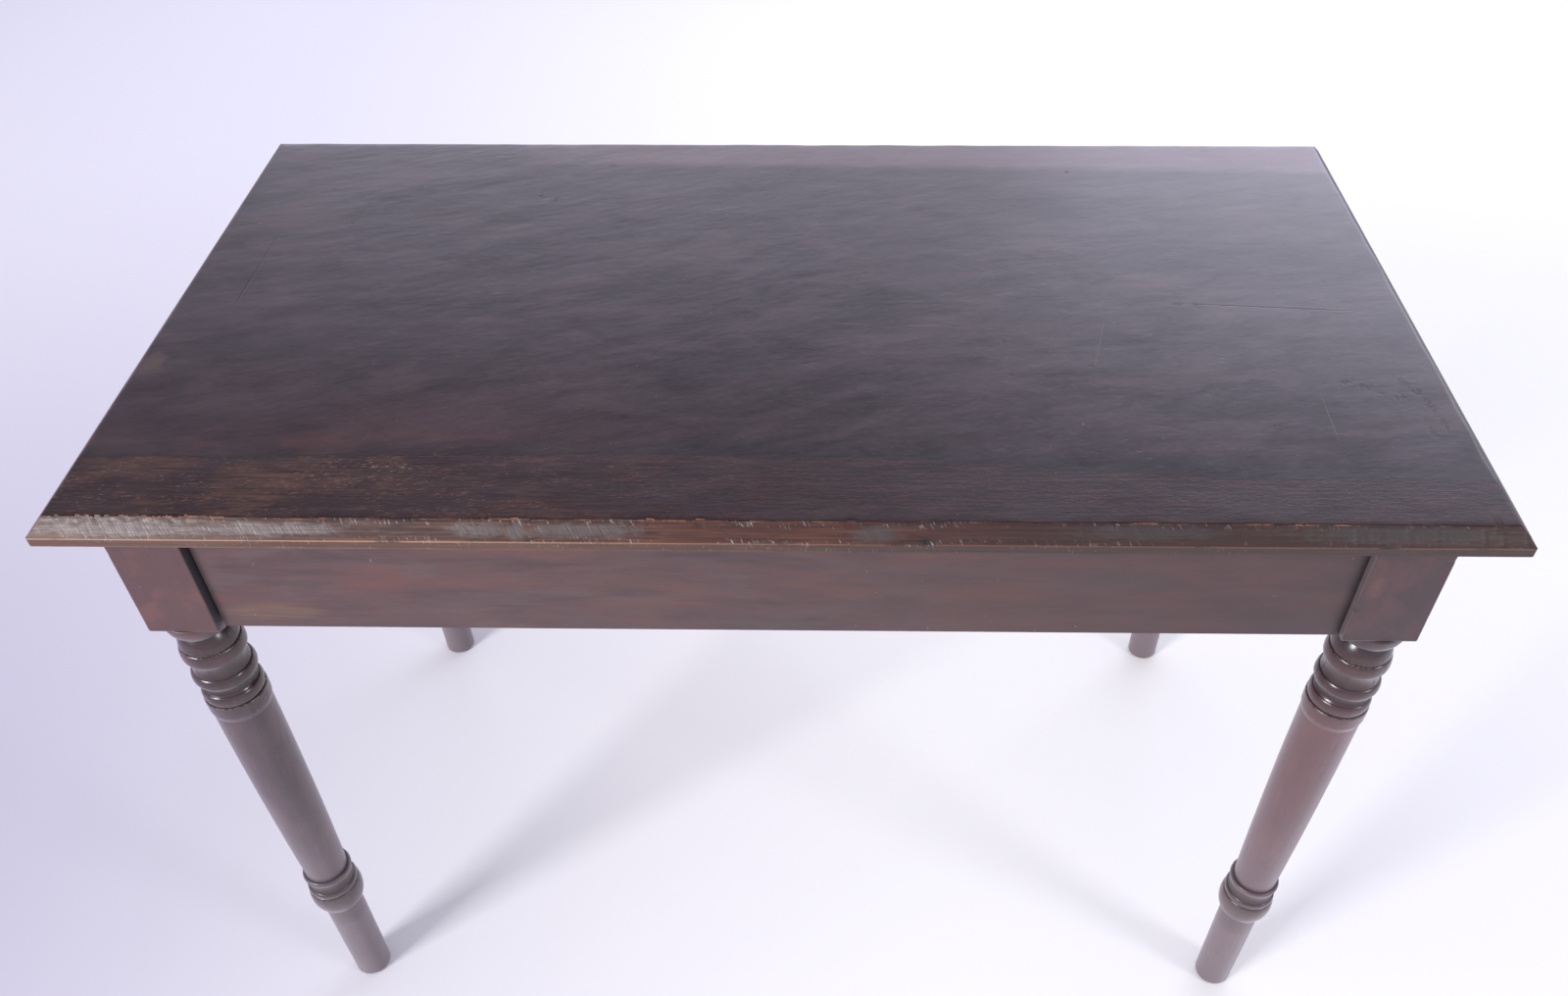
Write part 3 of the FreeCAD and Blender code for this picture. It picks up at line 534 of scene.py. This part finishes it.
def leg_material():
    """Turned mahogany, the grain upright, shiny from handling, dirt and painted shade in the quirks, pale low
    down from rubbing and painted floor light.
    """
    t = Tree("turned_mahogany")
    grain = t.noise((0.012, 0.012, 0.26), 5.0, 0.62, twist=0.3)
    fine = t.noise((0.0016, 0.0016, 0.05), 3.0, 0.6)
    cloud = t.noise((0.03, 0.03, 0.05), 4.0, 0.6)
    wood = t.plus(t.times(grain, 0.25), t.times(fine, 0.20), t.times(cloud, 0.55))
    colour = t.ramp(wood, [(0.36, (0.046, 0.0290, 0.0370)), (0.5, (0.071, 0.0430, 0.0500)),
                           (0.64, (0.106, 0.057, 0.060))])
    right = t.smooth(t.x, -0.1, 0.3)
    # Painted light: the right leg's shaft paler and redder, for the light on its lit side
    lit_right_shaft = t.times(right, t.smooth(t.z, 0.57, 0.50), 0.7)
    colour = t.over(colour, t.mix(wood, (0.098, 0.046, 0.052), (0.186, 0.084, 0.088)), lit_right_shaft)
    # The upper turning darker: partly its darker wood, partly painted shade below the head and the top
    turning = t.band(t.z, 0.490, 0.545, 0.6120, 0.6160)
    colour = t.over(colour, t.mix(cloud, (0.018, 0.0075, 0.0060), (0.056, 0.0215, 0.0150)), turning, 0.62)
    # The square head and the shoulder below it, with red showing through in blotches
    head = t.smooth(t.z, 0.6265, 0.6275)
    pommel = t.smooth(t.z, 0.6120, 0.6160)
    blotch = t.noise((0.026, 0.026, 0.034), 4.0, 0.62, twist=0.4, shift=(0.2, 0.0, 0.1))
    colour = t.over(colour, (0.074, 0.0235, 0.0175), pommel, 0.70)
    colour = t.over(colour, (0.130, 0.046, 0.036), pommel, t.smooth(blotch, 0.46, 0.66), 0.62)
    # On the right head the mottles are darker: partly its own colour, partly painted shade towards the right
    mottle = t.mix(t.smooth(blotch, 0.32, 0.72), (0.019, 0.0070, 0.0090), (0.052, 0.0150, 0.0160))
    colour = t.over(colour, mottle, pommel, right, 0.88)
    ember = t.mark((0.484, HEAD_FRONT, 0.694), (0.011, 0.02, 0.024), ragged=t.swing(blotch, 0.2, 2.4))
    colour = t.over(colour, (0.150, 0.052, 0.038), ember, 0.55)
    # Dust and pale rubbing towards the floor, with painted light thrown up from the floor in the paleness
    dust_and_floor_light = t.smooth(t.z, 0.46, 0.06)
    colour = t.over(colour, t.mix(wood, (0.118, 0.096, 0.112), (0.250, 0.198, 0.216)), dust_and_floor_light, 0.75)
    low_turning = t.band(t.z, 0.1460, 0.1530, 0.1990, 0.2060)
    low_wood = t.mix(cloud, (0.034, 0.0200, 0.0180), (0.078, 0.0470, 0.0420))
    colour = t.over(colour, low_wood, low_turning, 0.50)
    # The sides of the heads next to the front rail: painted black at the left, grey at the right
    # Painted shade: the inner side of the left head, turned away from the left lamp, black beside its open
    # joint
    gap = t.times(head, t.smooth(t.x, -0.4774, -0.4768), t.smooth(t.x, -0.2, -0.4))
    colour = t.over(colour, (0.004, 0.0025, 0.0030), gap)
    cheek = t.times(head, t.smooth(t.x, 0.4746, 0.4742), t.smooth(t.x, 0.2, 0.4), t.smooth(t.y, -0.30, -0.31))
    colour = t.over(colour, (0.105, 0.082, 0.079), cheek, t.swing(fine, 0.6, 1.2))
    # Dirt and painted shade in the hollows between the rings, bare edges on the collar
    clean_and_lit = t.math("MINIMUM", t.curve(t.z, CLEAN_AND_LIT_LOW), t.curve(t.z, CLEAN_AND_LIT_HIGH))
    dirt_and_shade = t.times(t.minus(1.0, clean_and_lit), t.minus(1.0, pommel), t.swing(cloud, 0.9, 0.5))
    colour = t.over(colour, (0.011, 0.0062, 0.0064), dirt_and_shade)
    rubbed = t.most([t.band(t.z, level - 0.0012, level - 0.0003, level + 0.0003, level + 0.0012)
                     for level in BARE_EDGES])
    colour = t.over(colour, (0.22, 0.14, 0.110), rubbed, t.smooth(fine, 0.46, 0.62), 0.5)
    specks = t.smooth(t.noise((0.006, 0.006, 0.006), 2.0, 0.5), 0.755, 0.79)
    colour = t.over(colour, (0.26, 0.21, 0.20), specks, 0.5)
    rough = t.plus(t.swing(cloud, 0.31, 0.12), t.times(pommel, 0.14))
    rough = t.plus(rough, t.smooth(t.z, 0.50, 0.10, 0.0, 0.10))
    rough = t.minus(rough, t.times(t.most([turning, low_turning]), 0.08))
    normal = t.bump(grain, 0.07, 0.0010)
    normal = t.bump(fine, 0.08, 0.0004, normal)
    return t.finish(colour, rough, normal, IOR=1.55, Sheen_Weight=0.36, Sheen_Roughness=0.42,
                    Sheen_Tint=(0.94, 0.89, 1.0))


def inner_material():
    """Plain unpolished secondary wood, sawn and darkened by age."""
    t = Tree("secondary_wood")
    grain = t.noise((0.12, 0.12, 0.006), 4.0, 0.6)
    saw = t.noise((0.004, 0.09, 0.09), 2.0, 0.5)
    colour = t.ramp(grain, [(0.3, (0.095, 0.060, 0.038)), (0.7, (0.20, 0.130, 0.080))])
    colour = t.over(colour, (0.07, 0.045, 0.030), t.smooth(saw, 0.5, 0.7), 0.3)
    normal = t.bump(t.plus(grain, saw), 0.3, 0.0007)
    return t.finish(colour, t.swing(grain, 0.72, 0.15), normal)


def iron_material():
    """Old blackened iron screws."""
    t = Tree("old_iron")
    rust = t.noise((0.003, 0.003, 0.003), 4.0)
    colour = t.ramp(rust, [(0.35, (0.05, 0.048, 0.047)), (0.7, (0.13, 0.07, 0.045))])
    return t.finish(colour, t.swing(rust, 0.55, 0.3), t.bump(rust, 0.2, 0.0003), Metallic=0.8)


TOP_WOOD = top_material()
EDGE_WOOD = edge_material()
APRON_WOOD = apron_material()
LEG_WOOD = leg_material()
INNER_WOOD = inner_material()
OLD_IRON = iron_material()


# Pieces of the object

def line_at(line, x):
    """The y of a line along the top, at this x."""
    share = x / TOP_LENGTH + 0.5
    return line[0] + (line[1] - line[0]) * share


def between(value, low, high):
    """0 below low, 1 above high, straight between; the other way round when high is the smaller."""
    return min(1.0, max(0.0, (value - low) / (high - low)))


def ripple(x, y, z):
    """Smooth noise around 0, the same at each run."""
    return noise.noise(Vector((x, y, z)))


def pit_share(x, y):
    """1 in the middle of a pit or blister of the top, 0 outside all of them."""
    share = 0.0
    for middle_x, middle_y, long, wide, turn in PITS:
        aside, ahead = x - middle_x, y - middle_y
        if max(abs(aside), abs(ahead)) > PIT_REACH:
            continue
        along = (aside * math.cos(turn) + ahead * math.sin(turn)) / long
        across = (ahead * math.cos(turn) - aside * math.sin(turn)) / wide
        distance = math.hypot(along, across) / PIT_SPREAD + 0.9 * ripple(x * 300, y * 420, 1.0)
        share = max(share, between(distance, 0.62, 0.30))
    return share


def edge_wear(x, y):
    """How far the front bevel and its arris are worn, flaked and chipped below their first form."""
    back = y + HALF_WIDTH
    if back > WORN_FRONT:
        return 0.0
    arris = between(back, 0.0085, 0.0125) * between(back, 0.0172, 0.0145)
    slope = between(back, 0.0005, 0.003) * between(back, 0.0140, 0.0115)
    flaking = between(x, -0.592, -0.575) * between(x, -0.435, -0.475)
    crinkle = 0.5 + 0.5 * ripple(x * 170, back * 330, 5.0)
    flakes = arris * FLAKE_DEPTH * between(crinkle, 0.42, 0.72) + slope * SLOPE_FLAKE_DEPTH * crinkle
    chance = ripple(x * 75, 2.0, 8.0) + 0.35 * ripple(x * 260, back * 200, 2.0)
    busy = 0.10 if -0.09 < x < 0.17 else 0.0
    chips = arris * CHIP_DEPTH * between(chance, 0.38 - busy, 0.85)
    planing = between(ripple(x * 210, back * 25, 4.0), 0.05, 0.4)
    chatter = slope * between(x, 0.30, 0.42) * CHATTER_DEPTH * planing
    uneven = slope * UNEVEN_DEPTH * (0.5 + 0.5 * ripple(x * 38, back * 90, 6.0))
    return flaking * flakes + chips + chatter + uneven


def top_height(x, y):
    """Level of the upper side of the top, with its bevel, its worn arris and its pits."""
    long_fall = BEVEL_DROP * (1 - (HALF_WIDTH - abs(y)) / BEVEL_RUN_LONG)
    end_fall = BEVEL_DROP * (1 - (HALF_LENGTH - abs(x)) / BEVEL_RUN_END)
    fall = max(long_fall, end_fall)
    softness = max(0.0004, 0.0009 + 0.0008 * ripple(x * 25, y * 25, 3.0))
    if fall < -5 * softness:
        fall = 0.0
    elif fall < 20 * softness:
        fall = softness * math.log(1 + math.exp(fall / softness))
    waves = WAVE_DEPTH * (0.5 + 0.5 * ripple(x * 5 + y * 2, y * 13 - x * 3, 1.0))
    level = TOP_LEVEL - fall - waves - edge_wear(x, y) - PIT_DEPTH * pit_share(x, y)
    return max(TOP_UNDER + LEAST_THICKNESS, level)


def in_plan(x, y):
    """A place on the top, drawn in where the plan has a rounded corner."""
    aside = abs(x) - HALF_LENGTH + TOP_CORNER
    ahead = abs(y) - HALF_WIDTH + TOP_CORNER
    reach = math.hypot(aside, ahead)
    if aside <= 0 or ahead <= 0 or reach <= TOP_CORNER:
        return x, y
    return (math.copysign(HALF_LENGTH - TOP_CORNER + aside * TOP_CORNER / reach, x),
            math.copysign(HALF_WIDTH - TOP_CORNER + ahead * TOP_CORNER / reach, y))


def spread(low, high, coarse, fine, zones):
    """Places from low to high, fine steps inside the zones and coarse ones outside."""
    places = [low]
    while places[-1] < high:
        here = places[-1]
        close = any(start <= here <= end for start, end in zones)
        step = fine if close else coarse
        for start, end in zones:
            if here < start < here + step:
                step = start - here
        places.append(here + step)
    places.pop()
    if high - places[-1] < fine * 0.4:
        places.pop()
    return places + [high]


def add_piece(mesh, node):
    """Put a mesh into the scene in place of a CAD node."""
    mesh.update()
    piece = bpy.data.objects.new(mesh.name, mesh)
    scene.collection.objects.link(piece)
    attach(piece, "root")
    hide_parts(node)


def board(name, node, front, rear, along, zones, row_zones):
    """One board of the top between two lines, with its worn upper side as real form."""
    depth = line_at(rear, 0.0) - line_at(front, 0.0)
    ends = [(-HALF_LENGTH, -HALF_LENGTH + END_STRIP), (HALF_LENGTH - END_STRIP, HALF_LENGTH)]
    columns = spread(-HALF_LENGTH, HALF_LENGTH, along, FINE_COLUMN, ends + zones)
    rows = spread(0.0, 1.0, COARSE_ROW / depth, FINE_ROW / depth, row_zones)
    points, faces, kinds, pits = [], [], [], []
    for share in rows:
        for x in columns:
            place = in_plan(x, line_at(front, x) + (line_at(rear, x) - line_at(front, x)) * share)
            points.append((place[0], place[1], top_height(*place)))
            pits.append(pit_share(*place))
    wide, deep = len(columns), len(rows)
    polished, rubbed, sawn = 0, 1, 2
    for row in range(deep - 1):
        for column in range(wide - 1):
            low = row * wide + column
            faces.append((low, low + 1, low + wide + 1, low + wide))
            bevelled = points[low][2] < TOP_LEVEL - BEVEL_STARTS and pits[low] == 0
            kinds.append(rubbed if bevelled else polished)
    upper_faces = len(faces)
    ring = list(range(wide))
    ring += [row * wide + wide - 1 for row in range(1, deep)]
    ring += [(deep - 1) * wide + column for column in range(wide - 2, -1, -1)]
    ring += [row * wide for row in range(deep - 2, 0, -1)]
    count = len(ring)
    upper = len(points)
    points += [points[index] for index in ring]
    lower = len(points)
    points += [(points[index][0], points[index][1], TOP_UNDER) for index in ring]
    pits += [0.0] * (2 * count)
    for index in range(count):
        following = (index + 1) % count
        faces.append((upper + following, upper + index, lower + index, lower + following))
        kinds.append(rubbed)
    faces.append(tuple(lower + index for index in reversed(range(count))))
    kinds.append(sawn)
    mesh = bpy.data.meshes.new(name)
    mesh.from_pydata(points, [], faces)
    mesh.polygons.foreach_set("material_index", kinds)
    mesh.polygons.foreach_set("use_smooth", [index < upper_faces for index in range(len(faces))])
    mesh.attributes.new("pits", "FLOAT", "POINT").data.foreach_set("value", pits)
    for material in (TOP_WOOD, EDGE_WOOD, INNER_WOOD):
        mesh.materials.append(material)
    add_piece(mesh, node)


def bowed(low, high, radii, steps):
    """Places on a turned face that bows through three radii, from its lower to its upper level."""
    first, middle, last = radii
    places = []
    for index in range(steps + 1):
        share = index / steps
        radius = first * (1 - share) * (1 - 2 * share) + middle * 4 * share * (1 - share)
        radius += last * share * (2 * share - 1)
        places.append((radius, low + (high - low) * share))
    return places


def rounded(low, high, foot, swell, head, place, form):
    """Places on a bead or a hollow, close together near its ends."""
    places = []
    for index in range(MEMBER_STEPS + 1):
        share = 0.5 - 0.5 * math.cos(math.pi * index / MEMBER_STEPS)
        if share < place:
            start, off = foot, 1 - share / place
        else:
            start, off = head, (share - place) / (1 - place)
        radius = start + (swell - start) * max(0.0, 1 - off * off) ** form
        places.append((radius, low + (high - low) * share))
    return places


def shoulder():
    """Places on the quarter hollow that leads from the neck out to the head."""
    radius, level = SHOULDER_FOOT
    turns = [math.pi / 2 * step / SHOULDER_STEPS for step in range(SHOULDER_STEPS + 1)]
    return [(radius + SHOULDER_REACH * math.sin(turn), level + SHOULDER_RISE * (1 - math.cos(turn)))
            for turn in turns]


def leg_strips():
    """The turned part of a leg as strips of radius and level, one for each smooth face."""
    strips = [FOOT_ROUND, bowed(*FOOT)]
    strips += [rounded(*member) for member in LOW_MEMBERS]
    strips += [bowed(*SHAFT), *COLLAR]
    strips += [rounded(*member) for member in HIGH_MEMBERS]
    strips += [QUIRK, bowed(*NECK), FILLET, shoulder()]
    joined = []
    for strip in strips:
        if joined and math.dist(joined[-1][-1], strip[0]) > 0.05:
            joined.append([joined[-1][-1], strip[0]])
        joined.append(strip)
    return joined


def turned_row(radius, level, foot, head, seed):
    """Points around a leaning leg at one level, worn and out of round."""
    share = level / LEAN_LEVEL
    middle_x = foot[0] + (head[0] - foot[0]) * share
    middle_y = foot[1] + (head[1] - foot[1]) * share
    for step in range(AROUND_LEG):
        turn = 2 * math.pi * step / AROUND_LEG
        east, north = math.cos(turn), math.sin(turn)
        uneven = 1 + OUT_OF_ROUND * ripple(east * 1.3, north * 1.3, level * 0.012 + seed)
        dent = DENT_DEPTH * between(ripple(east * 7, north * 7, level * 0.07 + seed), 0.40, 0.85)
        reach = (radius * uneven - dent) / 1000
        yield middle_x + reach * east, middle_y + reach * north, level / 1000


def head_outline(block, inset):
    """The square head in plan, drawn in by an inset: seven points at each corner, five of them round it."""
    left, right, front, rear = block
    radius, margin = CORNER_RADIUS, CORNER_MARGIN
    corners = [(right, rear, 0), (left, rear, 1), (left, front, 2), (right, front, 3)]
    for x, y, quarter in corners:
        inward_x = -1 if x == right else 1
        inward_y = -1 if y == rear else 1
        middle_x = x + inward_x * (radius + inset)
        middle_y = y + inward_y * (radius + inset)
        turns = [math.pi / 2 * (quarter + step / 4) for step in range(5)]
        rounds = [(middle_x + radius * math.cos(turn), middle_y + radius * math.sin(turn)) for turn in turns]
        yield rounds[0][0] + margin * math.sin(turns[0]), rounds[0][1] - margin * math.cos(turns[0])
        yield from rounds
        yield rounds[4][0] - margin * math.sin(turns[4]), rounds[4][1] + margin * math.cos(turns[4])


def head_row(block, rise, inset, seed):
    """Points around a head at one height above its foot, with its corners rubbed."""
    middle_x, middle_y = (block[0] + block[1]) / 2, (block[2] + block[3]) / 2
    for place, (x, y) in enumerate(head_outline(block, inset)):
        corner, on_corner = divmod(place, CORNER_POINTS)
        worn = 0.0
        if 0 < on_corner < CORNER_POINTS - 1:
            worn = CORNER_WEAR * between(ripple(corner * 3.0, rise * 90, seed), 0.25, 0.8)
        yield x - math.copysign(worn, x - middle_x), y - math.copysign(worn, y - middle_y), HEAD_FOOT + rise


def tube(first, rows, around):
    """Faces between rows of points that lie one above the other."""
    faces = []
    for row in range(rows - 1):
        for step in range(around):
            low = first + row * around + step
            beside = first + row * around + (step + 1) % around
            faces.append((low, beside, beside + around, low + around))
    return faces


def front_leg(name, node, foot, head, sides, seed):
    """A front leg as it stands now: leaning a little, its turning out of round, its head's corners rubbed."""
    points, faces, smooth_faces = [], [], []
    for strip in leg_strips():
        skin = tube(len(points), len(strip), AROUND_LEG)
        faces += skin
        smooth_faces += [len(strip) > 2] * len(skin)
        for radius, level in strip:
            points += turned_row(radius, level, foot, head, seed)
    faces.append(tuple(reversed(range(AROUND_LEG))))
    faces.append(tuple(range(len(points) - AROUND_LEG, len(points))))
    smooth_faces += [False, False]
    # The head: height above its foot and inset of each row
    levels = [(0.0, HEAD_ARRIS), (0.0003, 0.0004), (HEAD_ARRIS, 0.0)]
    plain = TOP_UNDER - HEAD_FOOT - HEAD_ARRIS
    levels += [(HEAD_ARRIS + plain * row / HEAD_ROWS, 0.0) for row in range(1, HEAD_ROWS + 1)]
    around = 4 * CORNER_POINTS
    first = len(points)
    skin = tube(first, len(levels), around)
    faces += skin
    smooth_faces += [0 < index % CORNER_POINTS < CORNER_POINTS - 2 for index in range(len(skin))]
    for rise, inset in levels:
        points += head_row((*sides, HEAD_FRONT, HEAD_REAR), rise, inset, seed)
    faces.append(tuple(reversed(range(first, first + around))))
    faces.append(tuple(range(len(points) - around, len(points))))
    smooth_faces += [False, False]
    mesh = bpy.data.meshes.new(name)
    mesh.from_pydata(points, [], faces)
    mesh.polygons.foreach_set("use_smooth", smooth_faces)
    mesh.materials.append(LEG_WOOD)
    add_piece(mesh, node)


front_depth = line_at(FRONT_JOINT, 0.0) - line_at(FRONT_EDGE, 0.0)
centre_depth = line_at(REAR_JOINT, 0.0) - line_at(FRONT_JOINT, 0.0)
rear_depth = line_at(REAR_EDGE, 0.0) - line_at(REAR_JOINT, 0.0)
pit_columns, pit_rows = [], []
for x, y, long, wide, turn in PITS:
    ahead = y - line_at(FRONT_JOINT, x)
    pit_columns.append((x - long * PIT_SPREAD, x + long * PIT_SPREAD))
    pit_rows.append(((ahead - wide * PIT_SPREAD) / centre_depth, (ahead + wide * PIT_SPREAD) / centre_depth))
board("front_board_worn", "top_front_board", FRONT_EDGE, FRONT_JOINT, FRONT_COLUMN, [],
      [(0.0, BEVEL_STRIP / front_depth)])
board("centre_board_worn", "top_centre_board", FRONT_JOINT, REAR_JOINT, CENTRE_COLUMN, pit_columns, pit_rows)
board("rear_board_worn", "top_rear_board", REAR_JOINT, REAR_EDGE, REAR_COLUMN, [],
      [(1 - BEVEL_STRIP / rear_depth, 1.0)])

# Each front leg: its axis at the floor and below the head, the left and right side of its head
front_leg("front_left_leg_worn", "leg_front_left", (-0.5042, -0.2923), (-0.5080, -0.2940),
          (-0.5372, -0.4766), 3.0)
front_leg("front_right_leg_worn", "leg_front_right", (0.5042, -0.2923), (0.5100, -0.2940),
          (0.4737, 0.5378), 11.0)

for name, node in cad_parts.items():
    if name.startswith("leg_"):
        wood = LEG_WOOD
    elif name.endswith("_rail"):
        wood = APRON_WOOD
    elif name.endswith("screws"):
        wood = OLD_IRON
    else:
        wood = INNER_WOOD
    node.data.materials.clear()
    node.data.materials.append(wood)


# Floor: painted light and shade, lilac grey at the left, white under the table and behind it

FLOOR_HALF = 9
floor_tree = Tree("pale_floor")
across = floor_tree.smooth(floor_tree.x, -1.4, 0.35)
beyond = floor_tree.smooth(floor_tree.x, 0.1, 1.2)
backwards = floor_tree.smooth(floor_tree.y, -0.6, 1.8)
# Painted light and shade across the floor: darker lilac at the left, white towards the right and the rear
floor_tone_and_light = floor_tree.mix(across, (0.430, 0.412, 0.530), (1.0, 0.995, 1.0))
floor_tone_and_light = floor_tree.over(floor_tone_and_light, (0.90, 0.895, 0.935), beyond)
rear_colour = floor_tree.mix(across, (0.85, 0.835, 0.925), (1.0, 1.0, 1.0))
floor_tone_and_light = floor_tree.over(floor_tone_and_light, rear_colour, backwards)
diffuse = floor_tree.add("ShaderNodeBsdfDiffuse", Color=floor_tone_and_light)
floor_tree.tree.links.new(diffuse.outputs[0], floor_tree.out.inputs["Surface"])
floor_mesh = bpy.data.meshes.new("floor")
floor_corners = [(FLOOR_HALF * x, FLOOR_HALF * y, 0) for x, y in ((-1, -1), (1, -1), (1, 1), (-1, 1))]
floor_mesh.from_pydata(floor_corners, [], [(0, 1, 2, 3)])
floor_mesh.materials.append(floor_tree.material)
floor = bpy.data.objects.new("floor", floor_mesh)
scene.collection.objects.link(floor)


# World: even light on the object, and a paler background near the horizon for the camera and reflections

world = bpy.data.worlds.new("studio")
scene.world = world
world.use_nodes = True
sky = world.node_tree
sky.nodes.clear()
sky_out = sky.nodes.new("ShaderNodeOutputWorld")
ambient = sky.nodes.new("ShaderNodeBackground")
ambient.inputs["Color"].default_value = (0.915, 0.905, 1.0, 1)
ambient.inputs["Strength"].default_value = 0.62
mirrored = sky.nodes.new("ShaderNodeBackground")
mirrored.inputs["Color"].default_value = (0.835, 0.815, 1.0, 1)
direction = sky.nodes.new("ShaderNodeTexCoord")
height = sky.nodes.new("ShaderNodeSeparateXYZ")
fade = sky.nodes.new("ShaderNodeMapRange")
for socket, value in zip(("From Min", "From Max", "To Min", "To Max"), (0.42, 0.68, 1.16, 0.68)):
    fade.inputs[socket].default_value = value
path = sky.nodes.new("ShaderNodeLightPath")
seen = sky.nodes.new("ShaderNodeMath")
seen.operation = "MAXIMUM"
choice = sky.nodes.new("ShaderNodeMixShader")
sky.links.new(direction.outputs["Generated"], height.inputs[0])
sky.links.new(height.outputs["Z"], fade.inputs["Value"])
sky.links.new(fade.outputs[0], mirrored.inputs["Strength"])
sky.links.new(path.outputs["Is Camera Ray"], seen.inputs[0])
sky.links.new(path.outputs["Is Glossy Ray"], seen.inputs[1])
sky.links.new(seen.outputs[0], choice.inputs[0])
sky.links.new(ambient.outputs[0], choice.inputs[1])
sky.links.new(mirrored.outputs[0], choice.inputs[2])
sky.links.new(choice.outputs[0], sky_out.inputs["Surface"])


# Lamps: name, place, target, width and height, power, colour, roll

LAMPS = [
    ("key_left", (-2.76, -2.52, 1.8), (0, 0, 0.4), (1.05, 1.05), 124, (1.0, 0.985, 1.0), 0.0),
    ("fill_right", (2.46, -1.64, 1.55), (0, 0, 0.4), (0.65, 0.7), 21, (1.0, 0.99, 1.0), 0.0),
    ("backdrop_wide", (0.9, 3.3, 2.1), (0.75, 0, 1.5), (6.5, 1.3), 56, (0.82, 0.825, 1.0), -0.20),
    ("backdrop_right", (2.6, 3.3, 2.1), (2.3, 0, 1.5), (3.4, 1.3), 41, (0.82, 0.825, 1.0), -0.24),
]
for name, place, target, size, power, colour, roll in LAMPS:
    light = bpy.data.lights.new(name, "AREA")
    light.shape = "RECTANGLE"
    light.size, light.size_y = size
    light.energy = power
    light.color = colour
    lamp = bpy.data.objects.new(name, light)
    lamp.location = place
    aim = (Vector(target) - Vector(place)).to_track_quat("-Z", "Y")
    lamp.rotation_euler = (aim.to_matrix() @ Matrix.Rotation(roll, 3, "Z")).to_euler()
    scene.collection.objects.link(lamp)


# The camera, solved from the edges of the top and the legs in a frame 1600 wide and 1016 high

FRAME_WIDTH = 1600
SENSOR_WIDTH = 36
FOCAL_PIXELS = 1317.3845
SHIFT_PIXELS = (-27.530, 53.497)
CAMERA_PLACE = (0.042694, -1.052250, 1.445250)
CAMERA_RIGHT = (0.99987266, 0.01519327, -0.00488085)
CAMERA_UP = (-0.00715902, 0.70041372, 0.71370118)
CAMERA_BACK = (0.01426207, -0.71357535, 0.7004333)
camera_data = bpy.data.cameras.new("camera")
camera_data.sensor_fit = "HORIZONTAL"
camera_data.sensor_width = SENSOR_WIDTH
camera_data.lens = FOCAL_PIXELS / FRAME_WIDTH * SENSOR_WIDTH
camera_data.shift_x = SHIFT_PIXELS[0] / FRAME_WIDTH
camera_data.shift_y = SHIFT_PIXELS[1] / FRAME_WIDTH
camera_data.clip_start, camera_data.clip_end = 0.05, 60
camera = bpy.data.objects.new("camera", camera_data)
scene.collection.objects.link(camera)
camera_turn = Matrix((CAMERA_RIGHT, CAMERA_UP, CAMERA_BACK)).transposed()
camera.matrix_world = Matrix.Translation(CAMERA_PLACE) @ camera_turn.to_4x4()
scene.camera = camera
scene.view_settings.view_transform = "Standard"

bpy.context.view_layer.update()
